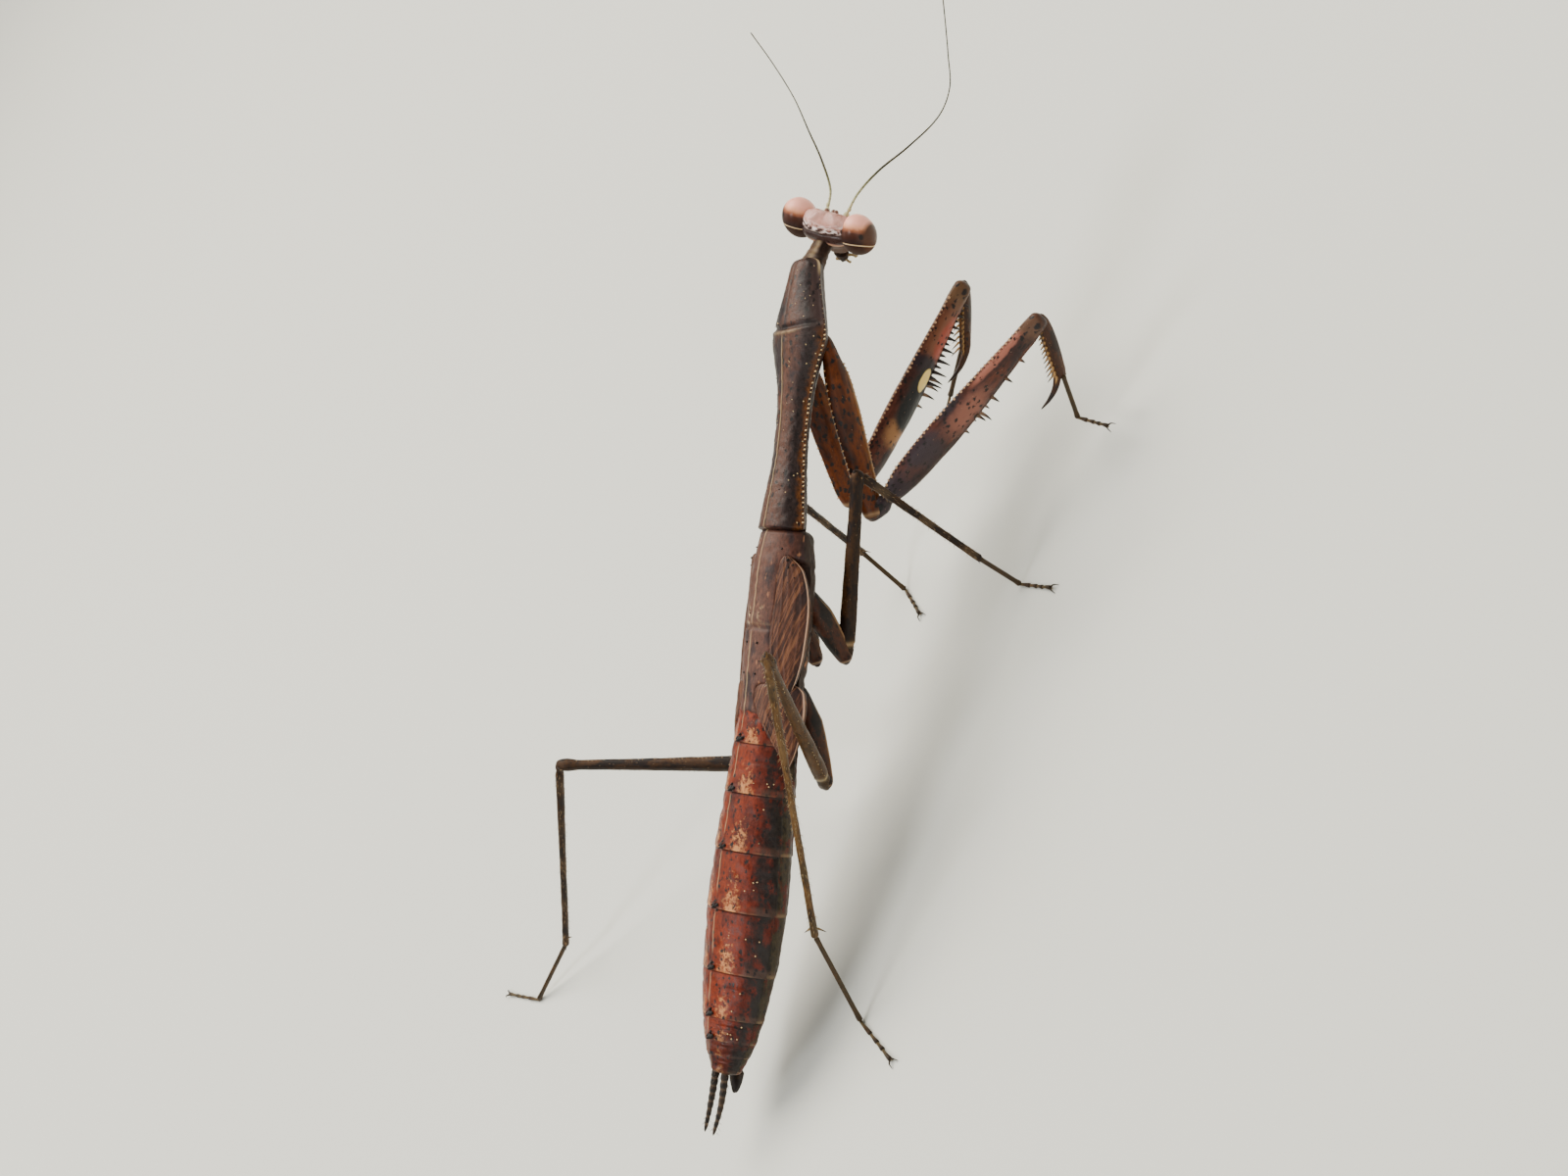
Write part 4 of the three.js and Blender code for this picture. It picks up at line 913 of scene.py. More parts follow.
def capsule_point(ring, angle):
    """Angle 0 faces forward here, and the rings go up from the mouth."""
    t = ring / CAPSULE_RINGS
    height = capsule_height(ring)
    close = min(1.0, 13.9 * (1 - t) ** 2)
    full = opening(t, 12) * math.sqrt(1 - (1 - close) ** 2)
    width, front, rear = eased(CAPSULE_OUTLINE, height)
    forward = math.cos(angle) > 0
    corner = 0 if forward else hump(height, -0.1, 0.5)
    x, y = rounded(angle, width * (1 + 0.12 * corner), front if forward else rear,
                   0.88 - 0.25 * corner)
    knobs = 0.03 * rough_at(1.6, x, y, height)
    knobs += 0.012 * rough_at(4.5, x, y, height) * hump(height, 0.5, 0.2)
    if forward:
        brow = 0.04 * hump(height, 0.0, 0.2) * hump(abs(x), 0.0, 0.7)
        clypeus = -0.07 * hump(height, -1.25, 0.07) + 0.05 * hump(height, -1.6, 0.2)
        socket = 0.07 * hump(abs(x), 0.55, 0.2) * hump(height, 0.05, 0.2)
        y += brow + clypeus + socket + knobs
    else:
        y += 0.06 * hump(height, 0.24, 0.06) - 0.03 * hump(height, 0.42, 0.1)
        y += knobs - 0.04 * hump(height, -0.34, 0.06)
        y -= 0.05 * torn(x, height) * hump(height, 0.55, 0.25)
    lobe = 0.06 * hump(abs(x), 0.75, 0.2) * smooth(0.3, 0.9, height)
    dip = 0.05 * hump(x, 0, 0.35) * smooth(0.6, 1, height)
    return Vector((x * full, -y * full, height + lobe + knobs * 0.5 - dip))


def capsule_marks(ring, angle):
    height = capsule_height(ring)
    x = eased(CAPSULE_OUTLINE, height)[0] * math.sin(angle)
    rear = smooth(0.0, 0.4, -math.cos(angle))
    ragged = 0.25 * torn(x, height)
    # The dark band at the back of the crown is a painted shadow, and the glints on its wrinkles are
    # painted highlights, carried in the third mark.
    painted_shadow = smooth(0.7 + ragged, 0.58 + ragged, height) * smooth(-0.3, -0.2, height)
    glint = smooth(0.0, 0.14, torn(x * 1.3 + 3, height * 1.2)) * hump(height, 0.58, 0.2)
    rim = hump(height, -0.34, 0.07)
    return (0.85 * rear * rim, 0.93 * rear * painted_shadow * (1 - glint), 0.95 * rear * glint)


head = form()
skin(head, 120, CAPSULE_RINGS, capsule_point, capsule_marks)
SIMPLE_EYE, SIMPLE_EYE_RINGS = 0.14, 10
for middle in ((-0.28, -0.42, 0.62), (0.0, -0.56, 0.42), (0.28, -0.42, 0.62)):
    def simple_eye_point(ring, angle):
        tilt = ring / SIMPLE_EYE_RINGS * math.pi
        out = Vector((math.sin(tilt) * math.sin(angle), -math.cos(tilt),
                      math.sin(tilt) * math.cos(angle)))
        return Vector(middle) + out * SIMPLE_EYE

    skin(head, 16, SIMPLE_EYE_RINGS, simple_eye_point, lambda ring, angle: (0.25, 0.6, 0))
settle(head, "head_capsule", HEAD, capsule_chitin, "head", "head")

# The compound eyes: a clear smooth shell over thousands of tiny lenses, peach above and shading to
# brown and black below, with a thin pale line there.
lens, tree = bare_finish("clear_eye_shell")
at = add(tree, "Attribute", attribute_name="place").outputs["Vector"]
bands = known(tree, "lie")
down = bands.outputs[1]
haze = add(tree, "TexNoise", {"Vector": at, "Scale": 1.8, "Detail": 5.0, "Roughness": 0.6})
haze = add(tree, "Math", {0: haze, 1: 0.12, 2: -0.06}, operation="MULTIPLY_ADD")
level = add(tree, "Math", {0: down, 1: haze}, operation="ADD")
tint = add(tree, "ValToRGB", {0: level}, stops=[
    (0.0, "#ffb4a2"), (0.18, "#ffb39e"), (0.28, "#e8a07c"), (0.36, "#94573a"), (0.44, "#4a281c"),
    (0.66, "#2c1a16"), (0.74, "#341f16"), (1.0, "#3c251a")])
tint = stain(tree, tint, bands.outputs[2], "#4a2c1e", 0.62, 0.8)
line = add(tree, "ValToRGB", {0: down}, stops=[
    (0.7, "#000000"), (0.712, "#ffffff"), (0.726, "#ffffff"), (0.738, "#000000")])
tint = stain(tree, tint, line, "#d9b98f")
tint = stain(tree, tint, known(tree, "marks").outputs[1], "#120c0b")
# The lenses are 0.03 mm across in life and are drawn at 0.05 mm, as coarse as they need to show.
facets = add(tree, "TexVoronoi", {"Vector": at, "Scale": 20.0, "Randomness": 0.25})
relief = add(tree, "Bump", {"Height": facets, "Distance": 0.003 * MM, "Strength": 0.6})
gloss = add(tree, "MapRange", {0: down, 1: 0.55, 2: 0.75, 3: 0.35, 4: 0.95})
shell = add(tree, "BsdfPrincipled", {
    "Base Color": tint, "Roughness": gloss, "IOR": 1.45, "Specular IOR Level": 0.22,
    "Normal": relief, "Coat Weight": 0.06, "Coat Roughness": 0.08})
add(tree, "OutputMaterial", {"Surface": shell})

EYE_RADII = (0.99, 1.0, 1.3)
EYE_RINGS = 64
EYE_MIDDLES = {-1: Vector((-1.79 + 0.14, 0.07, -0.2 + 0.04)),
               1: Vector((1.79 + 0.15, -0.1, -0.2 + 0.12))}
for word, side in RIGHT_AND_LEFT:
    eye = form()
    middle = EYE_MIDDLES[side]
    pupil = Vector((side * 0.64, 0.57, 0.52)).normalized()
    low = Vector((side * 0.06, 0.64, -0.76)).normalized()
    outer = Vector((side, 0, 0))

    def eye_point(ring, angle):
        tilt = ring / EYE_RINGS * math.pi
        x, y = math.sin(tilt) * math.sin(angle), math.sin(tilt) * math.cos(angle)
        point = Vector((x * EYE_RADII[0] * (1 + 0.06 * side * x), y * EYE_RADII[1],
                        math.cos(tilt) * EYE_RADII[2]))
        return point * 0.96 + middle

    skin(eye, 96, EYE_RINGS, eye_point)
    lay, mark = (eye.verts.layers.float_vector[n] for n in ("lie", "marks"))
    for vertex in eye.verts:
        n = Vector([d / r for d, r in zip(vertex.co - middle, EYE_RADII)]).normalized()
        vertex[lay] = (0, 0.5 + 0.5 * n.dot(low), n.dot(outer))
        vertex[mark] = (0, 0.9 * smooth(0.988, 0.994, n.dot(pupil)), 0)
    settle(eye, f"compound_eye_{word}", HEAD, lens, "eye", f"{word}_eye")

# The mouth: an upper lip that covers the jaws, and two pairs of jointed palps, in dark brown
# chitin.
mouth_chitin = cuticle(
    "amber_mouth_chitin",
    girth=[(0.0, "#6a4632"), (3.0, "#3c2a22")],
    patches=(2.5, 0.8, 0.4, "#8a6243"), streak=8.0, spots=(5.0, 0.1, 0.6), rough=0.6, shine=0.12)
mouth = form()
LIP_RINGS = 30


def lip_point(ring, angle):
    t = ring / LIP_RINGS
    full = opening(t, 5) * math.sqrt(max(0.0, 1 - t ** 5))
    x, y = rounded(angle, blend(0.46, 0.26, t), blend(0.36, 0.24, t), 0.85)
    cleft = 0.07 * hump(x, 0, 0.06) * smooth(0.5, 1, t)
    return Vector((x * full, -y * full - 0.04 * t + cleft, -2.1 - 0.95 * t))


skin(mouth, 40, LIP_RINGS, lip_point)
PALPS = (
    (((0.26, -0.02, -2.45), (0.62, -0.22, -2.62), (0.56, -0.42, -2.95), (0.34, -0.5, -3.2)), 0.085),
    (((0.16, 0.12, -2.6), (0.4, 0.1, -2.9), (0.3, -0.08, -3.15)), 0.065),
)
for side in (-1, 1):
    for points, thick in PALPS:
        horn(mouth, curved([(side * x, y, z) for x, y, z in points], 30),
             lambda t: thick * (0.8 + 0.3 * bead(t, 4)) * closing(t, 3),
             sides=14, marks=(0.25, 0, 0), tip=(0.45, 0, 0))
settle(mouth, "mouth_and_palps", HEAD, mouth_chitin, "mouthparts", "mouthparts")

# The feelers: a pale bead at the root, a smaller one on it, and a hair-thin chain of a hundred
# rings, which is cast as one tapering thread with a dark line at each joint.
feeler_chitin = cuticle(
    "olive_feeler_chitin",
    girth=[(0.0, "#a39a63"), (3.0, "#8a7d4e")],
    patches=(3.0, 0.4, 0.4, "#6d6a44"), streak=8.0, spots=(4.0, 0.08, 0.9), pale="#d6d3a2",
    rough=0.5)
FEELERS = {
    -1: [(-0.58, -0.72, 0.1), (-0.85, -1.9, 0.6), (-1.4, -3.5, 0.8), (-2.4, -5.3, 1.0),
         (-3.3, -7.3, 1.35), (-3.4, -8.8, 1.95), (-2.85, -10.2, 2.8), (-1.75, -12.6, 4.3),
         (-0.9, -14.3, 5.4)],
    1: [(0.58, -0.72, 0.1), (0.78, -1.8, 0.55), (1.8, -3.1, 1.2), (3.2, -4.5, 1.5),
        (5.0, -6.3, 1.7), (7.3, -8.2, 1.8), (9.6, -9.9, 1.9)],
}


def feeler_marks(t):
    joints = hump((t * 50) % 1, 0.5, 0.12)
    return (0.7 * smooth(0.2, 0.0, t), 0.55 * smooth(0.08, 0.35, t) + 0.4 * joints, 0)


for word, side in RIGHT_AND_LEFT:
    feeler = form()
    horn(feeler, curved(FEELERS[side], 400),
         lambda t: blend(0.075, 0.035, smooth(0, 0.6, t)) * (0.93 + 0.07 * math.sin(t * 620)),
         sides=10, marks=feeler_marks)
    root = Vector(FEELERS[side][0])
    away = (Vector(FEELERS[side][1]) - root).normalized()
    for start, length, thick in ((-0.25, 0.5, 0.17), (0.22, 0.3, 0.11)):
        horn(feeler, [root + away * (start + length * i / 12) for i in range(13)],
             lambda t: thick * math.sin(min(max(t, 0.02), 0.98) * math.pi) ** 0.45,
             sides=20, marks=(0.8, 0, 0))
    settle(feeler, f"feeler_{word}", HEAD, feeler_chitin, "antenna", f"{word}_antenna")

# The neck: creased membrane with two hard brown plates at the sides, stretched from head to shield.
neck_membrane = cuticle(
    "creased_neck_membrane",
    girth=[(0.0, "#98735b"), (0.7, "#7e5c46"), (1.1, "#4e382d"), (1.5, "#7c5a45"),
           (3.0, "#7a5f4a")],
    patches=(2.2, 0.3, 0.45, "#5f4334"), streak=9.0, spots=(4.0, 0.1, 0.7), rough=0.55, grain=0.02)
neck_from = HEAD @ Vector((0.3, 0.15, -0.65))
neck_to = SHIELD @ Vector((0, SHIELD_FRONT - SHIELD_REAR + 0.7, -0.15))
neck_run = (neck_to - neck_from).length
neck_along = (neck_to - neck_from).normalized()
neck_side = neck_along.cross(Vector((0, 0, 1))).normalized()
NECK_RINGS = 60


def placed(origin, side, along):
    """The place of a part that has its own Y along a direction."""
    axes = Matrix((side, along, side.cross(along))).transposed()
    return Matrix.Translation(origin) @ axes.to_4x4()


def neck_point(ring, angle):
    t = ring / NECK_RINGS
    full = opening(t, 8) * opening(1 - t, 8)
    fold = 0.5 + 0.5 * rough_at(1, math.sin(angle), math.cos(angle), t * 3)
    crease = 0.03 * math.sin(t * 34 + 4 * fold) * fold
    crease += 0.04 * math.sin(angle * 7 + 5 * fold) * (1 - fold)
    crease += 0.07 * hump(abs(angle), 1.4, 0.3) * smooth(0.3, 0.9, t)
    waist = 1 - 0.08 * hump(t, 0.35, 0.3) + 0.2 * smooth(0.4, 1.0, t)
    x, z = rounded(angle, 0.68 * waist + crease, 0.54 * waist + crease, 1)
    return Vector((x * full, neck_run * t, z * full))


def neck_marks(ring, angle):
    return (0.2 * hump(abs(angle), 0.5, 0.2), 0.5 * hump(abs(angle), 1.4, 0.25), 0)


neck = form()
skin(neck, 64, NECK_RINGS, neck_point, neck_marks)
settle(neck, "neck_membrane", placed(neck_from, neck_side, neck_along), neck_membrane, "head",
       "neck")

# ---- Legs ---------------------------------------------------------------------------------------
# Each leg is a chain of hard hollow tubes that hinge on soft skin: hip, thigh, shin and foot. The
# fore pair are clasping arms with black spines under the thigh, the others are thin walking legs.
FORE = {"coxa": 8.7, "femur": 13.6, "tibia": 3.95, "basitarsus": 3.0, "toes": 2.8}
MIDDLE = {"coxa": 3.85, "femur": 10.25, "tibia": 9.05, "basitarsus": 3.2, "toes": 2.6}
HIND = {"coxa": 4.4, "femur": 12.5, "tibia": 15.35, "basitarsus": 5.75, "toes": 3.6}
# name, lengths, where the hip hangs on the trunk, then the heading and rise of the hip, thigh and
# shin, the heading of the foot's first joint and of its toes, and how far the foot is raised.
# Headings are from straight ahead towards its right, rises are above level, all in degrees.
LEGS = [
    ("right_fore", FORE, (-1.25, -12.2, -1.15), (176.3, -43.6), (27.5, -3.5), (-142.9, -62),
     -139, 102, 1.69),
    ("left_fore", FORE, (1.25, -12.2, -1.15), (-166, -54.8), (11.3, 1.7), (-153.3, -42.2),
     -141.6, 161, 3.94),
    ("right_middle", MIDDLE, (-1.15, 0.7, -1.35), (-172.3, -63.9), (17.9, 32.9), (142.7, -86.5),
     34.3, 92.1, 0),
    ("left_middle", MIDDLE, (1.15, 0.7, -1.35), (-177.1, -57.3), (-23.7, 26.3), (-93.4, -75.4),
     123.6, 123, 0),
    ("right_hind", HIND, (-1.35, 6.2, -1.5), (-178.4, -45.1), (62.4, 56.9), (-168.6, -43.6),
     -175.2, 111.2, 0),
    ("left_hind", HIND, (1.35, 6.2, -1.5), (-138.9, -34), (-111, 29.4), (-138, -39.6),
     -134, -96, 0),
]
# share of the length, half width, height above the axis, depth below it
FORE_COXA = [(0, 0.44, 0.52, 0.5), (0.12, 0.56, 0.7, 0.68), (0.35, 0.6, 0.82, 0.76),
             (0.8, 0.54, 0.7, 0.64), (0.94, 0.5, 0.6, 0.56), (1, 0.46, 0.5, 0.46)]
FORE_FEMUR = [(0, 0.36, 0.4, 0.4), (0.05, 0.44, 0.55, 0.5), (0.09, 0.42, 0.5, 0.52),
              (0.2, 0.5, 0.84, 0.86), (0.36, 0.54, 0.98, 0.98), (0.6, 0.5, 0.88, 0.88),
              (0.85, 0.42, 0.68, 0.6), (0.95, 0.45, 0.65, 0.55), (1, 0.43, 0.58, 0.5)]
FORE_TIBIA = [(0, 0.26, 0.32, 0.32), (0.12, 0.3, 0.42, 0.34), (0.5, 0.3, 0.46, 0.36),
              (0.85, 0.27, 0.38, 0.34), (1, 0.24, 0.3, 0.3)]
COXA = [(0, 0.5, 0.52, 0.52), (0.2, 0.66, 0.68, 0.66), (0.7, 0.52, 0.56, 0.56),
        (1, 0.38, 0.42, 0.42)]
MIDDLE_FEMUR = [(0, 0.3, 0.32, 0.32), (0.1, 0.4, 0.44, 0.42), (0.5, 0.36, 0.4, 0.38),
                (0.9, 0.3, 0.33, 0.32), (0.96, 0.35, 0.38, 0.34), (1, 0.31, 0.32, 0.3)]
HIND_FEMUR = [(0, 0.3, 0.34, 0.34), (0.1, 0.4, 0.46, 0.44), (0.5, 0.32, 0.36, 0.34),
              (0.9, 0.26, 0.28, 0.28), (0.96, 0.34, 0.36, 0.32), (1, 0.3, 0.3, 0.28)]
TIBIA = [(0, 0.2, 0.24, 0.22), (0.06, 0.22, 0.25, 0.23), (0.5, 0.18, 0.2, 0.19),
         (0.93, 0.19, 0.2, 0.19), (1, 0.2, 0.22, 0.2)]
UP = Vector((0, 0, 1))


def toward(heading, rise):
    heading, rise = math.radians(heading), math.radians(rise)
    level = math.cos(rise)
    return Vector((-math.sin(heading) * level, -math.cos(heading) * level, math.sin(rise)))


def aimed(origin, along, top):
    return placed(origin, along.cross(top).normalized(), along)


def limb(bm, length, outline, sides, rings, shape, marks=None, over=(0.25, 0.2)):
    """Adds one tube of a leg, which reaches over both its joints. shape(t, angle, along) says how
    far a point is pushed out, and marks(t, angle, along) how pale and dark it is."""
    rows = stations(-over[0], length + over[1], rings, over[0] * 1.6, over[1] * 1.6)

    def limb_point(ring, angle):
        along, full = rows[ring]
        t = along / length
        x, z = section(outline, min(max(t, 0), 1), angle, 1, 1)
        push = shape(t, angle, along) + 0.02 * rough_at(1, x * 3, along * 1.5, z * 3)
        return pushed(x, along, z, full, push)

    def limb_marks(ring, angle):
        along = rows[ring][0]
        return marks(along / length, angle, along) if marks else NOTHING

    skin(bm, sides, rings, limb_point, limb_marks)


def spine(bm, tube, y, angle, reach, thick, sunk=0.97, lean=0.0, droop=0.0, **look):
    """Adds a spine to a tube, its length and outline, that leans and then droops along it."""
    length, outline = tube
    x, z = section(outline, y / length, angle, 1, 1)
    out = Vector((math.sin(angle), lean, math.cos(angle)))
    spike(bm, (x * sunk, y, z * sunk), out, reach, thick, bend=(0, -droop * reach, 0), **look)


def hairs(bm, tube, count, reach, shade=0.35, lean=1.3):
    """Short bristles that lean towards the foot."""
    for i in range(count):
        spine(bm, tube, chance.uniform(0.03, 0.98) * tube[0], chance.uniform(-math.pi, math.pi),
              chance.uniform(0.6, 1.2) * reach, 0.012, lean=lean, steps=4, sides=4,
              marks=(shade, 0, 0))


def oval(tree, place, lie, at, half, soft):
    """1 within an uneven oval, whose middle is at a distance along and an angle round."""
    stir = add(tree, "TexNoise", {"Vector": place, "Scale": 2.5, "Detail": 4.0, "Roughness": 0.6})
    stir = add(tree, "VectorMath", {0: stir.outputs["Color"], 1: (0.5, 0.5, 0.5)},
               operation="SUBTRACT")
    lay = add(tree, "CombineXYZ", {0: lie, 1: lie.outputs[1]})
    lay = add(tree, "VectorMath", {0: stir, 1: (1.2 * soft,) * 3, 2: lay},
              operation="MULTIPLY_ADD")
    spread = (1 / half[1], 1 / half[0], 1)
    shift = (-at[1] / half[1], -at[0] / half[0], 0)
    put = add(tree, "VectorMath", {0: lay, 1: spread, 2: shift}, operation="MULTIPLY_ADD")
    far = add(tree, "VectorMath", {0: put}, operation="LENGTH")
    return add(tree, "MapRange", {0: far, 1: 1 + soft, 2: 1 - soft},
               interpolation_type="SMOOTHSTEP")


def painted(ovals):
    """A pattern of ovals: distance along, angle, half length, half width, softness, shade."""
    def pattern(tree, place, lie, colour):
        for y, angle, long, wide, soft, shade in ovals:
            mask = oval(tree, place, lie, (y, angle), (long, wide), soft)
            colour = stain(tree, colour, mask, shade)
        return colour
    return pattern


# Clasping-arm chitin: satin maroon-brown marbled with pink, with cream beads along the edges.
ARM_LOOK = {
    "girth": [(0.0, "#8a5242"), (0.5, "#794a40"), (1.1, "#63403c"), (1.8, "#563634"),
              (3.0, "#744a3a")],
    "patches": (0.8, 0.35, 0.42, "#9a5b4a"), "streak": 8.0, "spots": (3.5, 0.38, 0.1),
    "rough": 0.38, "pale": "#e3b48c"}
KNEE_SPOT = (13.2, 1.25, 0.16, 0.22, 0.4, "#1d1715")
right_arm_chitin = cuticle("maroon_arm_chitin", **ARM_LOOK, pattern=painted([
    (1.4, 1.2, 1.5, 1.6, 0.5, "#32262b"), (4.4, 0.9, 1.2, 1.0, 0.5, "#34272c"),
    (7.5, 1.5, 1.5, 0.75, 0.6, "#835142"), (7.0, 0.1, 0.9, 0.55, 0.4, "#2c2125"),
    (10.8, 0.45, 2.1, 0.42, 0.25, "#935a4a"), (12.9, 0.6, 0.6, 1.6, 0.6, "#5b4030"),
    KNEE_SPOT, (0.5, 1.0, 0.33, 0.4, 0.2, "#0c0b0c")]))
# The inner face of the arm carries its display: a cream oval set in black, and a rosy patch.
left_arm_chitin = cuticle("maroon_arm_chitin_display", **ARM_LOOK, pattern=painted([
    (10.6, 1.4, 2.0, 1.2, 0.6, "#74452f"), (10.4, 1.8, 1.35, 0.6, 0.4, "#93402f"),
    (8.6, 1.2, 0.55, 1.4, 0.5, "#2b1f24"), (4.5, 1.6, 0.8, 0.8, 0.5, "#96683f"),
    (7.3, 1.8, 1.5, 0.85, 0.2, "#1d1517"), (6.0, 1.8, 1.3, 0.9, 0.2, "#0b0b0f"),
    (12.9, 0.6, 0.6, 1.6, 0.9, "#634730"), KNEE_SPOT]),
    over=painted([(7.85, 1.78, 0.7, 0.42, 0.1, "#e8c977")]))
# Shin chitin: dark reddish brown with an ochre edge where its spines stand.
shin_chitin = cuticle(
    "dark_shin_chitin",
    girth=[(0.0, "#8a5836"), (1.2, "#7a4830"), (2.0, "#623826"), (3.0, "#aa7440")],
    patches=(1.8, 0.35, 0.45, "#462a20"), streak=9.0, spots=(3.4, 0.24, 0.5), rough=0.4,
    pale="#d9a765")
# Hip chitin: rusty red-brown, thick with black pits, orange along the front edge.
hip_chitin = cuticle(
    "rusty_hip_chitin",
    girth=[(0.0, "#a3562c"), (0.8, "#ae5c2e"), (1.6, "#ae5c2e"), (2.2, "#c67840"),
           (3.0, "#8a4e30")],
    patches=(1.0, 0.35, 0.45, "#703e28"), streak=8.0, spots=(3.3, 0.46, 0.05), rough=0.42,
    pale="#e4b684")
# The walking legs' hips: a darker red-brown, blotched with black.
walking_hip_chitin = cuticle(
    "red_brown_hip_chitin",
    girth=[(0.0, "#7a4a36"), (0.8, "#7d4832"), (1.6, "#6b3c2a"), (2.2, "#8a5838"),
           (3.0, "#5f4030")],
    patches=(1.4, 0.45, 0.55, "#33241f"), streak=8.0, spots=(3.0, 0.3, 0.3), rough=0.48,
    pale="#d2a67c")
# Walking-leg chitin: dull dark brown with tan mottling and rough edges.
leg_chitin = cuticle(
    "mottled_leg_chitin",
    girth=[(0.0, "#805a3c"), (0.8, "#6e4c30"), (1.6, "#503826"), (3.0, "#6a4a30")],
    patches=(1.5, 0.45, 0.55, "#3d2b22"), streak=9.0, spots=(3.2, 0.2, 0.4), rough=0.52,
    pale="#c9a67b", shine=0.2)
# Hind-leg chitin: paler, an olive tan dashed with black.
hind_chitin = cuticle(
    "olive_tan_leg_chitin",
    girth=[(0.0, "#bc8f5e"), (0.8, "#a2764a"), (1.6, "#7c5836"), (3.0, "#8f6844")],
    patches=(1.2, 0.35, 0.4, "#6b4d2b"), streak=9.0, spots=(3.0, 0.26, 0.4), pale="#d4ba86")
# Foot chitin: thin and olive brown, dark at the joints.
foot_chitin = cuticle(
    "olive_foot_chitin",
    girth=[(0.0, "#7a5f3c"), (3.0, "#54402a")],
    patches=(2.0, 0.5, 0.45, "#7a5a38"), streak=9.0, spots=(5.0, 0.1, 0.7), pale="#b9a06c")


def hip_piece(name, size, place, outward, slot):
    """A stout tube with three edges, which are beaded on the clasping arms."""
    bm = form()
    fore = size is FORE
    length, outline = tube = (size["coxa"], FORE_COXA if fore else COXA)

    def shape(t, angle, along):
        edge = hump(angle, 2.3, 0.14) + hump(angle, -2.3, 0.14) + 0.7 * hump(angle, 0, 0.12)
        edge *= smooth(0.02, 0.15, t) * smooth(1.02, 0.9, t)
        lobes = 0.16 * hump(abs(angle), 1.57, 0.4) * hump(t, 0.96, 0.05)
        hollow = 0.05 * hump(abs(angle), 1.0, 0.3) if fore else 0
        return (0.09 if fore else 0.05) * edge + lobes - hollow

    def marks(t, angle, along):
        edge = hump(angle * -outward, 2.3, 0.1)
        pale = 0.5 * edge * smooth(0.0, 0.1, t) + 0.6 * hump(t, 0.985, 0.012)
        return (min(1, pale), 0.5 * smooth(0.93, 0.99, t) * (1 - edge), 0)

    sides, rings = (48, 110) if fore else (36, 60)
    limb(bm, length, outline, sides, rings, shape, marks, over=(1.3, 0.25))
    for angle, count in ((-2.3 * outward, 34), (2.3 * outward, 30), (0.0, 22)) if fore else ():
        for i in range(count):
            y = blend(0.06, 0.93, i / (count - 1)) * length + chance.uniform(-0.05, 0.05)
            big = chance.uniform(0.8, 1.25)
            spine(bm, tube, y, angle, 0.1 * big, 0.06 * big, 1.06, 0.25, steps=5,
                  marks=(0.6, 0, 0))
    hairs(bm, tube, 30, 0.1)
    settle(bm, f"hip_{name}", place, hip_chitin if fore else walking_hip_chitin, slot,
           f"{name}_coxa")


# The spines on the sole of the clasping thigh: share of the length, angle and reach. Then those of
# its outer row: share of the length and reach.
SOLE_SPINES = ((0.48, 3.0, 0.7), (0.53, 2.75, 1.0), (0.57, 3.05, 1.35), (0.6, 2.8, 1.1))
OUTER_SPINES = ((0.56, 0.62), (0.65, 0.58), (0.74, 0.5), (0.83, 0.4))
INNER_SPINES = 15
EDGE_BEADS = 42


